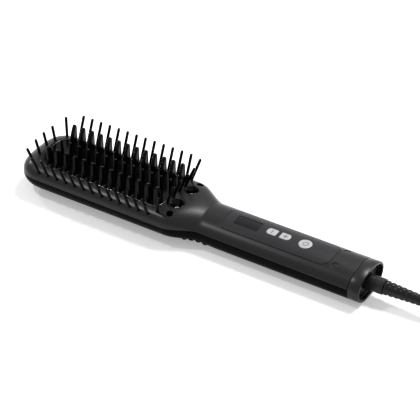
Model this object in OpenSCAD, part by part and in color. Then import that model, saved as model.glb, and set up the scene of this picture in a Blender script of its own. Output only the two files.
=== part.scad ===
// Steam hair straightener brush, lying on its back with the comb upwards.
// X runs from the tip of the head to the cord end, Y across, Z up from the surface it lies on.

/* [Body] */
// Length from the tip of the head to the end of the end cap
body_l = 290; // [285:1:300]
// Width of the head where its two shells meet
head_w = 57.2; // [56:0.2:60]
// Height of the head's crest above the surface
head_top = 27; // [26.4:0.2:28]
// Width of the handle
handle_w = 39.2; // [38.8:0.2:42]
// Height of the handle's crest above the surface
handle_top = 24.2; // [23.8:0.1:25]
// Wall of both shells
wall = 2; // [1.6:0.1:2.2]
// Height of the seam between the shells at the tip
seam_tip_z = 16.4; // [16:0.1:17]
// Drop of the seam from the tip to the cord end
seam_drop = 2.2; // [1.6:0.1:2.4]
// Length of the head's round nose
nose_l = 22; // [18:1:24]
// Where the head starts to narrow into the neck
neck_start = 133; // [131:1:134]
// Where the neck has become the handle
neck_end = 160; // [158:1:162]
// Height of the hollow under the neck, for the finger
arch_h = 1.6; // [1:0.1:2]

/* [Comb] */
// First row of comb teeth, from the tip
row_start = 26.8; // [26:0.1:27.5]
// Distance from one row of teeth to the next
row_pitch = 8.1; // [8:0.05:8.15]
// Rows of teeth along the comb
rows = 13; // [8:1:13]
// Start of the comb plate, from the tip
plate_start = 15.5; // [15:0.5:17]
// Width of the comb plate
plate_w = 39; // [38.6:0.2:39.4]
// Height of the comb plate's face above the surface
plate_z = 25.8; // [25.6:0.1:26.2]
// Thickness of the comb plate
plate_t = 3.6; // [3:0.2:4]
// Thickness of one blade along the comb
blade_t = 2.5; // [2:0.1:3]
// Length of one blade across the comb
blade_l = 7.4; // [6.4:0.2:7.6]
// Distance of the blades' middle from the centre line
blade_y = 15.1; // [14.8:0.1:15.2]
// Height of the blades' tops above the surface
blade_top = 42; // [40:0.2:44]
// Height of the round middle teeth's tops above the surface
tooth_top = 38.4; // [36:0.2:40]
// Diameter of a middle tooth at its foot
tooth_d = 3.2; // [2.8:0.1:3.4]
// Width of the bright rim round the comb plate
rim_w = 1.3; // [1:0.1:1.4]

/* [Outer pins] */
// Diameter of an outer pin
pin_d = 2; // [1.6:0.1:2.2]
// Length of an outer pin outside the shell
pin_l = 18.8; // [16:0.2:21]
// Length of an outer pin inside the shell
pin_root = 7.5; // [7.2:0.1:8]
// Lean of the outer pins from upright, in degrees
pin_lean = 23; // [20:1:26]
// Distance of the pin rows from the centre line
pin_y = 26.3; // [26.1:0.1:26.5]
// Length of a pin at the nose, which stands on higher ground
nose_pin_l = 12.6; // [11:0.2:14]
// Lean of the pins at the nose from upright, in degrees
nose_pin_lean = 12; // [8:1:16]
// Distance from one pin at the nose to the next
nose_pin_gap = 10; // [9:0.2:11]
// First pin of a long row, from the tip
pin_start = 23.8; // [23.4:0.1:24.2]
// Pins in a long row
pin_count = 13; // [8:1:13]

/* [Control panel] */
// Start of the panel, from the tip
panel_start = 172.5; // [172:0.5:174]
// Length of the panel
panel_l = 88.5; // [86:0.5:89]
// Width of the panel
panel_w = 24; // [23.4:0.2:24.4]
// Thickness of the panel
panel_t = 1.6; // [1.4:0.1:1.8]
// Start of the display window, from the tip
window_start = 180.4; // [180:0.2:181]
// Length of the display window
window_l = 19.8; // [19:0.2:20]
// Width of the display window
window_w = 10.6; // [10:0.2:11]
// Middle of the minus button, from the tip
minus_x = 210.1; // [209.5:0.1:210.5]
// Middle of the plus button, from the tip
plus_x = 221; // [220.5:0.1:221.5]
// Middle of the power button, from the tip
power_x = 237.2; // [236:0.2:239]
// Length of the minus and plus buttons
key_l = 8; // [7.6:0.1:8.2]
// Width of the minus and plus buttons
key_w = 6.8; // [6.4:0.1:7.2]
// Diameter of the power button
power_d = 10; // [10:0.1:11]
// Height of the buttons above the panel
key_proud = 0.4; // [0.2:0.1:0.6]
// Travel of the buttons
key_travel = 0.5; // [0.3:0.1:0.5]
// Gap round each button
key_gap = 0.25; // [0.2:0.05:0.4]
// Thickness of the control board
board_t = 1.6; // [1.2:0.2:1.6]
// Height of the board's upper face above the surface
board_z = 18; // [17.8:0.1:18.2]

/* [Steam] */
// Middle of the steam outlets, from the tip
outlet_x = 136; // [135.5:0.1:136.5]
// Distance of the outlets from the centre line
outlet_y = 9.8; // [9.4:0.1:10.2]
// Diameter of an outlet
outlet_d = 11; // [10:0.2:11.4]
// Middle of the hand pump, from the tip
pump_x = 155; // [154.5:0.1:155.5]
// Diameter of the pump body
pump_d = 12; // [11:0.5:13]
// Diameter of the pump plunger
plunger_d = 5; // [4:0.5:5.5]
// Travel of the steam trigger
trigger_travel = 2; // [1.5:0.1:2]
// Length of the steam trigger
trigger_l = 22; // [21:0.5:23]
// Width of the steam trigger at its head end
trigger_w = 38; // [37:0.5:38.5]
// Distance from one grip ridge to the next
ridge_pitch = 5.4; // [5:0.1:5.6]
// Height of a grip ridge
ridge_h = 1; // [0.6:0.1:1.1]
// Start of the water tank, from the tip
tank_start = 172; // [171:0.5:173]
// Length of the water tank
tank_l = 60; // [55:1:62]
// Height of the water tank's top above the surface
tank_top = 14.4; // [13.8:0.1:14.6]
// Wall of the water tank
tank_wall = 1.2; // [1:0.1:1.4]
// Middle of the filler plug, from the tip
filler_x = 214; // [205:1:220]
// Diameter of the filler plug's cap
filler_d = 10; // [9:0.5:11]
// Pull of the filler plug
filler_travel = 8; // [7:0.5:10]

/* [Fasteners] */
// Distance of the head screws from the tip
head_screw_x = 136.5; // [136:0.1:137.5]
// Distance of the head screws from the centre line
head_screw_y = 20.7; // [20.3:0.1:20.9]
// Distance of the handle screws from the tip
handle_screw_x = 265.8; // [265.5:0.1:266.5]
// Distance of the handle screws from the centre line
handle_screw_y = 9.2; // [9:0.1:9.6]
// Diameter of the screw wells
well_d = 5.3; // [5:0.1:5.6]
// Diameter of a screw's shank
screw_d = 2.6; // [2.4:0.1:2.8]

/* [Cord end] */
// Length of the end cap
cap_l = 9; // [8.5:0.5:10]
// Depth of the recess in the cord end
recess = 3; // [2.5:0.1:3.5]
// Diameter of the swivel sleeve
sleeve_d = 12; // [11:0.2:12.4]
// Length of the swivel sleeve outside the end plate
sleeve_l = 14; // [12:0.5:15]
// Length of the ribbed strain relief
relief_l = 35; // [30:1:38]
// Height of the cord's axis above the surface
cord_z = 12.2; // [12:0.1:12.4]
// Diameter of the mains cord
cord_d = 6; // [5.8:0.1:6]

/* [Hidden] */
$fn = 48;
eps = 0.01;
fit = 0.15;

charcoal = "#3a3a40";
near_black = "#1b1b1d";
gloss_black = "#101012";
panel_grey = "#3c3b42";
silver = "#d8d8d8";
steel = "#b4b6ba";
brass = "#c8a24a";
smoke = "#4a525c";
board_green = "#2f6b3c";

// Outline of the body

nose_n = 2.4;
nose_top_l = 16;
nose_under_l = 24;
tip_flat = 0.15;
head_mid_z = 15.6;
handle_mid_z = 12.3;
head_round = 3;
handle_round = 2.1;
under_round = 2.1;
flat_sink = 0.8;
slope_start = neck_start + 6;
slope_end = neck_end - 3;
arch_mid = pump_x;
arch_half = 20;
cap_start = body_l - cap_l;
ring_points = 40;

function clamp01(v) = max(0, min(1, v));
function ease(v) = let (c = clamp01(v)) c * c * (3 - 2 * c);
function mix(a, b, t) = a + (b - a) * t;
function neck(x) = ease((x - neck_start) / (neck_end - neck_start));
function drop(x) = let (t = clamp01((x - slope_start) / (slope_end - slope_start)))
    t * t * (3 - t) / 2;
function nose(x, inset, len, n) = x >= len ? 1
    : pow(max(0, 1 - pow(clamp01((len - max(x, inset + tip_flat)) / (len - inset)), n)), 1 / n);
function arch(x) = let (t = clamp01(abs(x - arch_mid) / arch_half)) arch_h * ease(1 - t);
function mid_z(x) = mix(head_mid_z, handle_mid_z, neck(x));
function half_w(x, inset) = (mix(head_w, handle_w, neck(x)) / 2 - inset)
    * nose(x, inset, nose_l, nose_n);
function rise(x, inset) = (mix(head_top, handle_top, drop(x)) - mid_z(x) - inset)
    * nose(x, inset, nose_top_l, 2);
function fall(x, inset) = (mid_z(x) + flat_sink - arch(x) - inset)
    * nose(x, inset, nose_under_l, 2);
function flat_z(x, inset) = mid_z(x) - (mid_z(x) - arch(x) - inset)
    * nose(x, inset, nose_under_l, 2);
function seam_z(x) = seam_tip_z - seam_drop * x / body_l;
function bend(v, n) = sign(v) * pow(abs(v), 2 / n);
// One ring of points round the body at x, drawn in by inset
function ring(x, inset, count) = let (
    w = half_w(x, inset), up = rise(x, inset), down = fall(x, inset),
    n_up = mix(head_round, handle_round, neck(x)))
    [for (i = [0:count - 1]) let (a = 360 * i / count, s = sin(a))
        [x, w * bend(cos(a), s >= 0 ? n_up : under_round),
        max(flat_z(x, inset), mid_z(x) + (s >= 0 ? up * bend(s, n_up) : down * bend(s, under_round)))]];
// Height of the top shell's outer face at x and y
function face_z(x, y) = let (n = mix(head_round, handle_round, neck(x)), w = half_w(x, 0))
    mid_z(x) + rise(x, 0) * pow(max(0, 1 - pow(min(1, abs(y) / w), n)), 1 / n);

// Where rings stand between x0 and x1: close together on the nose and the neck
function stations(inset, x0, x1) = let (first = max(x0, inset))
    concat([first], [for (x = concat(
        [for (i = [1:7]) inset + (nose_under_l - inset) * (1 - cos(90 * i / 7))],
        [for (x = [neck_start:3:neck_end + 15]) x])) if (x > first + 0.2 && x < x1 - 0.2) x], [x1]);

// Skin over rings of equal count, closed by flat ends
module skin(rings) {
    count = len(rings[0]);
    last = len(rings) - 1;
    points = [for (r = rings) each r];
    sides = [for (j = [0:last - 1], i = [0:count - 1])
        let (k = (i + 1) % count, a = j * count, b = a + count)
        each [[a + i, b + k, a + k], [a + i, b + i, b + k]]];
    ends = [[for (i = [0:count - 1]) i], [for (i = [count - 1:-1:0]) last * count + i]];
    polyhedron(points, concat(sides, ends), convexity = 6);
}
module body_form(inset, x0, x1) skin([for (x = stations(inset, x0, x1)) ring(x, inset, ring_points)]);
// Straight bar with the handle's section, for what fits the handle
module handle_bar(inset, x0, x1) {
    flat = [for (p = ring(body_l, inset, ring_points)) [p[1], p[2]]];
    translate([x0, 0, 0]) rotate([90, 0, 90]) linear_extrude(x1 - x0) polygon(flat);
}
module above_seam(gap = 0) {
    rotate([90, 0, 0]) linear_extrude(2 * head_w, center = true)
        polygon([[-10, seam_z(-10) + gap], [body_l + 10, seam_z(body_l + 10) + gap],
            [body_l + 10, 3 * head_top], [-10, 3 * head_top]]);
}
module below_seam() {
    rotate([90, 0, 0]) linear_extrude(2 * head_w, center = true)
        polygon([[-10, seam_z(-10)], [body_l + 10, seam_z(body_l + 10)],
            [body_l + 10, -10], [-10, -10]]);
}

// Flat shapes

// Rectangle from x0 to x1 with corner radius ra at x0 and rb at x1
module round_plate(x0, x1, w, ra, rb) {
    translate([x0 + ra, -w / 2]) square([x1 - x0 - ra - rb, w]);
    translate([x0, -w / 2 + ra]) square([ra + eps, w - 2 * ra]);
    translate([x1 - rb - eps, -w / 2 + rb]) square([rb + eps, w - 2 * rb]);
    for (s = [-1, 1]) {
        translate([x0 + ra, s * (w / 2 - ra)]) circle(ra);
        translate([x1 - rb, s * (w / 2 - rb)]) circle(rb);
    }
}
module lift(z0, z1) translate([0, 0, z0]) linear_extrude(z1 - z0) children();
module rod_x(d, x0, x1, y = 0, z = 0) translate([x0, y, z]) rotate([0, 90, 0]) cylinder(d = d, h = x1 - x0);

// Comb

plate_end = row_start + (rows - 1) * row_pitch + blade_t / 2 + 0.6;
nose_corner = 12;
neck_corner = 6;
rim_z = plate_z + 0.6;
rim_foot_z = plate_z - 2;
rim_lip_z = plate_z - 0.6;
rim_skirt_w = rim_w - 0.6;
row_xs = [for (i = [0:rows - 1]) row_start + i * row_pitch];
module comb_outline(grow) round_plate(plate_start - grow, plate_end + grow, plate_w + 2 * grow,
    nose_corner + grow, neck_corner + grow);

post_xs = [plate_start + 12, plate_end - 6];
post_y = 14;
post_d = 5;
element_t = 3.5;
sheet_t = 0.5;
clamp_t = 1;
element_l = 40;
element_w = 18;
sensor_x = (plate_start + plate_end) / 2;
element_xs = [sensor_x - 6 - element_l, sensor_x + 6];
plate_under = plate_z - plate_t;
clamp_z = plate_under - element_t - sheet_t;

module comb_plate() color(gloss_black) {
    difference() {
        union() {
            lift(plate_under, plate_z) comb_outline(0);
            for (x = post_xs, s = [-1, 1])
                translate([x, s * post_y, clamp_z]) cylinder(d = post_d, h = plate_under - clamp_z + eps);
        }
        for (x = post_xs, s = [-1, 1])
            translate([x, s * post_y, clamp_z - eps]) cylinder(d = screw_d + 0.1, h = 5);
    }
}
module comb_rim() color(silver) {
    difference() {
        union() {
            lift(rim_foot_z, rim_lip_z) comb_outline(rim_skirt_w);
            lift(rim_lip_z, rim_z) comb_outline(rim_w);
        }
        lift(rim_foot_z - 1, rim_z + 1) comb_outline(fit / 2);
    }
}
// Half of a row's outline across the comb: upright outside, round at the top, sloping inwards
module blade_outline() {
    high = blade_top - plate_z;
    corner = 2.8;
    slope_w = blade_l - corner;
    slope_h = 10;
    polygon(concat([[blade_l, 0], [0, 0]],
        [for (a = [180:-15:90]) [corner + corner * cos(a), high - corner + corner * sin(a)]],
        [for (t = [0.2:0.2:1]) [corner + slope_w * t, high - slope_h * pow(t, 1.5)]]));
}
module blade_pair(x) for (s = [0, 1]) mirror([0, s, 0])
    translate([x - blade_t / 2, -blade_y - blade_l / 2, plate_z]) rotate([90, 0, 90])
        linear_extrude(blade_t) blade_outline();
// The last pair is notched where the rim's corner passes under it
module comb_blades() color(gloss_black) {
    for (i = [0:rows - 2]) blade_pair(row_xs[i]);
    difference() {
        blade_pair(row_xs[rows - 1]);
        lift(plate_z - 1, rim_z + fit) difference() {
            comb_outline(rim_w + 1);
            comb_outline(0);
        }
    }
}
module comb_teeth() color(gloss_black)
    for (x = row_xs) translate([x, 0, plate_z]) rotate_extrude($fn = 24) tooth_half();
module tooth_half() {
    tip_r = 1.1;
    ball_z = tooth_top - plate_z - tip_r;
    neck_z = ball_z - 2;
    intersection() {
        union() {
            polygon([[0, 0], [tooth_d / 2, 0], [0.8, neck_z], [0.8, ball_z], [0, ball_z]]);
            translate([0, ball_z]) circle(tip_r, $fn = 24);
        }
        square([tooth_d, 2 * tooth_top]);
    }
}

// Outer pins: [x, y, heading of the lean, lean, length outside]
pin_end_x = plate_end + rim_w + 2;
pin_nose_x = plate_start - rim_w - 1.6;
corner_pin_lean = (pin_lean + nose_pin_lean) / 2;
corner_pin_l = (pin_l + nose_pin_l) / 2;
pins = concat(
    [for (i = [0:pin_count - 1], s = [-1, 1]) [pin_start + i * row_pitch, s * pin_y, s * 90, pin_lean, pin_l]],
    [for (k = [-1.5:1:1.5]) [pin_end_x, k * row_pitch, k * 10, pin_lean, pin_l]],
    [for (s = [-1, 1]) [pin_end_x - 1.6, s * 23, s * 52, pin_lean, pin_l]],
    [for (k = [-1:1]) [pin_nose_x + 0.3 * k * k, k * nose_pin_gap, 180 - k * 15, nose_pin_lean, nose_pin_l]],
    [for (s = [-1, 1]) [pin_nose_x + 3.4, s * 21.2, s * 128, corner_pin_lean, corner_pin_l]]);
module pin_place(p) translate([p[0], p[1], face_z(p[0], p[1])]) rotate([0, p[3], p[2]]) children();
module outer_pins() color(near_black) for (p = pins) pin_place(p) {
    translate([0, 0, -pin_root]) cylinder(d = pin_d, h = pin_root + p[4] - pin_d / 2, $fn = 24);
    translate([0, 0, p[4] - pin_d / 2]) sphere(d = pin_d + 0.3, $fn = 24);
}
frame_start = plate_start - rim_w - 5;
frame_t = 2.2;
frame_z = face_z(60, pin_y) - (pin_root - 1.6) * cos(pin_lean) - frame_t / 2;
frame_mid_y = pin_y - (pin_root - 1.6) * sin(pin_lean);
frame_w = 4.6;
module pin_frame() color(near_black) difference() {
    out = frame_mid_y + frame_w / 2;
    lift(frame_z, frame_z + frame_t) difference() {
        round_plate(frame_start, pin_end_x + 1.6, 2 * out, 16, 8);
        round_plate(frame_start + 8.6, pin_end_x - 4.4, 2 * (out - frame_w), 10, 4);
    }
    for (p = pins) pin_place(p) translate([0, 0, -pin_root - 1])
        cylinder(d = pin_d + 0.2, h = pin_root + 1, $fn = 12);
}

// Heater

module heating_elements() color(steel)
    for (x = element_xs) translate([x, -element_w / 2, plate_under - element_t])
        cube([element_l, element_w, element_t]);
module insulating_sheet() color("#8a7f70") translate([element_xs[0], -element_w / 2, clamp_z])
    cube([element_xs[1] + element_l - element_xs[0], element_w, sheet_t]);
module heater_clamp() color(steel) difference() {
    lift(clamp_z - clamp_t, clamp_z)
        round_plate(post_xs[0] - 3.6, post_xs[1] + 3.6, 2 * post_y + 7, 3, 3);
    for (x = post_xs, s = [-1, 1])
        translate([x, s * post_y, clamp_z - 2]) cylinder(d = screw_d + 0.2, h = 3);
}
module clamp_screws() color(steel) for (x = post_xs, s = [-1, 1])
    translate([x, s * post_y, 0]) {
        translate([0, 0, clamp_z - clamp_t]) cylinder(d = screw_d, h = clamp_t + 3);
        translate([0, 0, clamp_z - clamp_t - 1.5]) cylinder(d = 4.8, h = 1.5);
    }
module thermistor() color("#7a2f20") translate([sensor_x - 3, -6, plate_under - 1.5])
    rotate([-90, 0, 0]) cylinder(d = 3, h = 12, $fn = 24);
module thermal_fuse() color(steel) translate([sensor_x + 3, -6, plate_under - 1.5])
    rotate([-90, 0, 0]) cylinder(d = 3, h = 12, $fn = 24);

// Shells

well_r = well_d / 2;
tower_r = well_r + 1.4;
shoulder_z = 13;
shoulder_t = 1.6;
screw_spots = [for (s = [-1, 1]) [head_screw_x, s * head_screw_y],
    for (s = [-1, 1]) [handle_screw_x, s * handle_screw_y]];
board_spots = [[panel_start - 3.6, -7], [panel_start - 3.6, 7], [panel_start + panel_l + 3.6, 0]];
panel_end = panel_start + panel_l;
module panel_outline(grow) round_plate(panel_start - grow, panel_end + grow, panel_w + 2 * grow,
    5 + grow, 7 + grow);
module outlet_places() for (s = [-1, 1]) translate([outlet_x, s * outlet_y, 0]) children();

module top_housing() color(charcoal) difference() {
    intersection() {
        union() {
            difference() {
                body_form(0, 0, cap_start);
                body_form(wall, 0, body_l);
            }
            intersection() {
                body_form(wall / 2, head_screw_x - 6, head_screw_x + 6);
                for (p = screw_spots) translate([p[0], p[1], shoulder_z]) cylinder(r = tower_r, h = 20);
            }
            intersection() {
                handle_bar(wall / 2, handle_screw_x - 6, handle_screw_x + 6);
                for (p = screw_spots) translate([p[0], p[1], shoulder_z]) cylinder(r = tower_r, h = 20);
            }
            for (p = board_spots) translate([p[0], p[1], board_z])
                cylinder(d = 5, h = face_z(p[0], abs(p[1]) + 2.5) - board_z - 0.3);
        }
        union() {
            above_seam();
            for (p = screw_spots) translate([p[0], p[1], shoulder_z]) cylinder(r = tower_r, h = 5);
        }
    }
    lift(plate_z - 13, 2 * head_top) comb_outline(rim_w + fit);
    for (p = pins) pin_place(p) translate([0, 0, -6]) cylinder(d = pin_d + 3 * fit, h = 10, $fn = 8);
    difference() {
        lift(board_z, 2 * head_top) panel_outline(fit);
        handle_bar(panel_t, panel_start - 1, panel_end + 1);
    }
    lift(board_z - 2, 2 * head_top) panel_outline(-1.6);
    for (p = screw_spots) translate([p[0], p[1], 0]) {
        cylinder(d = screw_d + 0.3, h = 20);
        translate([0, 0, shoulder_z + shoulder_t]) cylinder(r = well_r, h = 20);
    }
    for (p = board_spots) translate([p[0], p[1], board_z - 1]) cylinder(d = 2.1, h = 3.6);
    outlet_places() translate([0, 0, head_top - 6]) cylinder(d = outlet_d + 2 * fit, h = 10);
}

trigger_start = pump_x - trigger_l / 2;
trigger_gap = 0.3;
filler_hole_r = filler_d / 2 + 0.2;
trigger_end = trigger_start + trigger_l;
trigger_taper = 2.2;
module trigger_block(grow) translate([0, 0, -2]) linear_extrude(14) polygon([
    [trigger_start - grow, -trigger_w / 2 - grow], [trigger_start - grow, trigger_w / 2 + grow],
    [trigger_end + grow, trigger_w / 2 - trigger_taper + grow],
    [trigger_end + grow, -trigger_w / 2 + trigger_taper - grow]]);
module bottom_housing() color(near_black) difference() {
    intersection() {
        union() {
            difference() {
                body_form(0, 0, cap_start);
                body_form(wall, 0, body_l);
            }
            intersection() {
                body_form(wall / 2, head_screw_x - 6, head_screw_x + 6);
                for (p = screw_spots) translate([p[0], p[1], 0]) cylinder(r = tower_r, h = shoulder_z);
            }
            intersection() {
                handle_bar(wall / 2, handle_screw_x - 6, handle_screw_x + 6);
                for (p = screw_spots) translate([p[0], p[1], 0]) cylinder(r = tower_r, h = shoulder_z);
            }
        }
        below_seam();
    }
    for (p = screw_spots) translate([p[0], p[1], 4]) cylinder(d = screw_d + 0.1, h = 20);
    for (p = screw_spots) translate([p[0], p[1], shoulder_z]) cylinder(r = tower_r + 0.1, h = 9);
    trigger_block(trigger_gap);
    translate([filler_x, 0, -1]) cylinder(r = filler_hole_r, h = wall + 2);
}
module housing_screws() color(steel) for (p = screw_spots) translate([p[0], p[1], 0]) {
    translate([0, 0, 5]) cylinder(d = screw_d, h = shoulder_z + shoulder_t - 5);
    translate([0, 0, shoulder_z + shoulder_t]) cylinder(d = well_d - 0.5, h = 1.8);
}
module screw_plugs() color(near_black) for (s = [-1, 1]) {
    y = s * handle_screw_y;
    intersection() {
        translate([handle_screw_x, y, shoulder_z + 4]) cylinder(r = well_r - fit, h = 12);
        handle_bar(0.2, handle_screw_x - 5, handle_screw_x + 5);
        translate([handle_screw_x - 5, y - 5, 18]) cube(10);
    }
}

// Control panel

module panel_skin(top, under, x0, x1) difference() {
    handle_bar(top, x0, x1);
    handle_bar(under, x0 - 1, x1 + 1);
}
module key_outline(round_left, grow) {
    inner = 0.8;
    outer = 2.6;
    ra = round_left ? outer : inner;
    rb = round_left ? inner : outer;
    round_plate(-key_l / 2 - grow, key_l / 2 + grow, key_w + 2 * grow, ra + grow, rb + grow);
}
window_ledge = 0.8;
module window_outline(grow) round_plate(window_start - grow, window_start + window_l + grow,
    window_w + 2 * grow, 0.8 + grow, 0.8 + grow);
window_t = 0.9;
module control_panel() color(panel_grey) difference() {
    intersection() {
        panel_skin(0, panel_t, panel_start, panel_end);
        lift(board_z, 2 * head_top) panel_outline(0);
    }
    difference() {
        lift(board_z, 2 * head_top) window_outline(0.1);
        handle_bar(window_t, panel_start, panel_end);
    }
    lift(board_z, 2 * head_top) window_outline(-window_ledge);
    lift(board_z, 2 * head_top) {
        translate([minus_x, 0]) key_outline(true, key_gap);
        translate([plus_x, 0]) key_outline(false, key_gap);
        translate([power_x, 0]) circle(d = power_d + 2 * key_gap);
    }
}
module display_window() color("#24242c") intersection() {
    panel_skin(0, window_t, window_start, window_start + window_l);
    lift(board_z, 2 * head_top) window_outline(0);
}
module display_module() color("#2c3a44")
    translate([window_start - 1, -7, board_z]) cube([window_l + 2, 14, 3.2]);

switch_h = 2.2;
nub_h = 0.4;
stem_z = board_z + switch_h + nub_h + key_travel + 0.1;
// A key: proud cap, lip under the panel and a stem down to its switch
module key(x) {
    translate([x, 0, 0]) translate([-x, 0, 0]) {
        intersection() {
            union() {
                intersection() {
                    handle_bar(-key_proud, x - 10, x + 10);
                    lift(stem_z, 2 * head_top) translate([x, 0]) children(0);
                }
                intersection() {
                    handle_bar(panel_t + 0.1, x - 10, x + 10);
                    lift(stem_z, 2 * head_top) translate([x, 0]) children(1);
                }
            }
            translate([x - 10, -10, stem_z + 0.3]) cube(20);
        }
        translate([x, 0, stem_z]) cylinder(d = 3, h = 1, $fn = 24);
    }
}
lip = 0.7;
module minus_button() color(silver) key(minus_x) {
    key_outline(true, 0);
    key_outline(true, lip);
}
module plus_button() color(silver) key(plus_x) {
    key_outline(false, 0);
    key_outline(false, lip);
}
module power_button() color(silver) key(power_x) {
    circle(d = power_d);
    circle(d = power_d + 2 * lip);
}
module push_switches() color("#202020") for (x = [minus_x, plus_x, power_x]) {
    translate([x - 3, -3, board_z]) cube([6, 6, switch_h]);
    translate([x, 0, board_z + switch_h - eps]) cylinder(d = 3.4, h = nub_h + eps, $fn = 24);
}
board_under = board_z - board_t;
module control_board() color(board_green) difference() {
    lift(board_under, board_z) {
        translate([panel_start - 6.5, -12.6]) square([panel_l - 2, 25.2]);
        translate([panel_end - 9, -4.4]) square([15, 8.8]);
    }
    for (p = board_spots) translate([p[0], p[1], board_under - 1]) cylinder(d = 2.3, h = 4);
}
module board_parts() color("#30343a") {
    translate([panel_end - 10, -4, board_under - 4]) cube([6, 8, 4]);
    translate([tank_start + tank_l + 5, -7, board_under - 7]) cube([10, 14, 7]);
    translate([246, -9, board_z]) cube([7, 4, 2.6]);
}
module board_screws() color(steel) for (p = board_spots) translate([p[0], p[1], 0]) {
    translate([0, 0, board_under]) cylinder(d = 2, h = board_t + 2.4, $fn = 24);
    translate([0, 0, board_under - 1.3]) cylinder(d = 4, h = 1.3, $fn = 24);
}

// Steam path

chamber_start = pin_end_x + 3.2;
chamber_end = pump_x - pump_d / 2 - 3.2;
chamber_top = 20;
nozzle_floor = head_top - 5;
module steam_chamber() color(steel) difference() {
    union() {
        translate([chamber_start, -14, 9]) cube([chamber_end - chamber_start, 28, chamber_top - 9]);
        outlet_places() translate([0, 0, chamber_top - eps]) cylinder(d = 5, h = 2.2);
    }
    outlet_places() translate([0, 0, 12]) cylinder(d = 2.4, h = 20, $fn = 24);
    rod_x(2, chamber_end - 9, chamber_end + 1, 0, 15);
}
// Cup let into the shell, cut away towards the comb
module steam_nozzles() color(near_black) intersection() {
    difference() {
        outlet_places() {
            difference() {
                translate([0, 0, nozzle_floor - 1.4]) cylinder(d = outlet_d, h = 8);
                translate([-1.5, 0, nozzle_floor]) cylinder(d = outlet_d - 2, h = 8);
            }
        }
        outlet_places() translate([0, 0, 12]) cylinder(d = 5.2, h = 22 - 12 + 0.2);
        outlet_places() translate([0, 0, 12]) cylinder(d = 2.4, h = 20, $fn = 24);
    }
    body_form(0.15, outlet_x - outlet_d, outlet_x + outlet_d);
}
pump_z0 = 9.4;
pump_z1 = 17.5;
module steam_tube() color("#c9c9c9") difference() {
    rod_x(4, chamber_end, pump_x - pump_d / 2 + 0.4, 0, 15);
    rod_x(2, chamber_end - 1, pump_x, 0, 15);
}
module pump_body() color(smoke) difference() {
    translate([pump_x, 0, pump_z0]) cylinder(d = pump_d, h = pump_z1 - pump_z0);
    translate([pump_x, 0, pump_z0 - 1]) cylinder(d = plunger_d + 0.1, h = pump_z1 - pump_z0 - 0.6);
    rod_x(4, pump_x - pump_d / 2 - 1, pump_x - pump_d / 2 + 0.5, 0, 15);
    rod_x(2, pump_x - pump_d / 2 - 1, pump_x, 0, 15);
    rod_x(4, pump_x + pump_d / 2 - 0.5, pump_x + pump_d / 2 + 1, 0, 11.6);
    rod_x(2, pump_x, pump_x + pump_d / 2 + 1, 0, 11.6);
}
trigger_seat = arch_h + 1.8;
module pump_plunger() color(steel)
    translate([pump_x, 0, trigger_seat]) {
        cylinder(d = plunger_d, h = pump_z1 - 1.7 - trigger_travel - 0.4 - trigger_seat);
        cylinder(d = 9, h = 0.8);
    }
spring_z0 = trigger_seat + 0.9;
spring_z1 = pump_z0 - 0.1;
spring_turns = 4;
function helix(a) = let (r = 3.7, w = 0.45, h = spring_z1 - spring_z0 - 2 * w, t = a / 360 / spring_turns)
    [pump_x + r * cos(a), r * sin(a), spring_z0 + w + h * t];
module pump_spring() color(steel) tube([for (a = [0:30:360 * spring_turns]) helix(a)], 0.45, 6);
// Places and heights of the rings that make the ribbed skin of the trigger
ridge_rings = concat([[trigger_start - 1, 0]],
    [for (i = [-1.5:1:1.5], k = [[-1.7, 0], [-0.6, 1], [0.6, 1], [1.7, 0]])
        [pump_x + i * ridge_pitch + k[0], k[1] * ridge_h]], [[trigger_end + 1, 0]]);
// Lower half of a ring, closed straight across
function half_ring(x, inset) = let (r = ring(x, inset, ring_points))
    [for (i = [ring_points / 2:ring_points]) r[i % ring_points]];
module steam_trigger() color(near_black) {
    difference() {
        intersection() {
            skin([for (r = ridge_rings) half_ring(r[0], -r[1])]);
            trigger_block(0);
            translate([0, -50, 0.4]) cube([body_l, 100, 20]);
        }
        skin([for (x = [trigger_start - 2:3:trigger_end + 3]) half_ring(x, 1.8)]);
    }
    for (x = [trigger_start - 2, trigger_end - 1]) translate([x, -5, 2.9]) cube([3, 10, 1.2]);
    for (x = [trigger_start, trigger_end - 1]) translate([x, -5, 1.5]) cube([1, 10, 2]);
}

module water_tank() color(smoke) difference() {
    intersection() {
        handle_bar(wall + 0.3, tank_start, tank_start + tank_l);
        translate([tank_start - 1, -30, 0]) cube([tank_l + 2, 60, tank_top]);
    }
    intersection() {
        handle_bar(wall + 0.3 + tank_wall, tank_start - 1, tank_start + tank_l - tank_wall);
        translate([tank_start - 2, -30, 0]) cube([tank_l + 2, 60, tank_top - tank_wall]);
    }
    translate([filler_x, 0, 0]) cylinder(d = filler_d - 2 + 0.1, h = wall + 3);
}
lid_t = 1.6;
module tank_lid() color(smoke) difference() {
    union() {
        intersection() {
            handle_bar(wall + 0.3, tank_start - lid_t, tank_start);
            translate([tank_start - 5, -30, 0]) cube([10, 60, tank_top]);
        }
        rod_x(4, tank_start - lid_t - 1.2, tank_start - lid_t + eps, 0, 11.6);
    }
    rod_x(2, tank_start - 10, tank_start + 1, 0, 11.6);
}
module water_tube() color("#c9c9c9") difference() {
    rod_x(4, pump_x + pump_d / 2 - 0.4, tank_start - lid_t - 1.2, 0, 11.6);
    rod_x(2, pump_x, tank_start, 0, 11.6);
}
module filler_plug() color("#55585c") translate([filler_x, 0, 0]) {
    difference() {
        translate([0, 0, 0.4]) cylinder(d = filler_d, h = wall - 0.3);
        translate([0, 0, -1]) cylinder(d = filler_d - 4, h = 1.9);
    }
    translate([-filler_d / 2 + 1.4, -0.8, 0.4]) cube([filler_d - 2.8, 1.6, 1]);
    translate([0, 0, wall + 0.1 - eps]) cylinder(d = filler_d - 2, h = tank_wall + 1.4);
}

// Cord end

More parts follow.
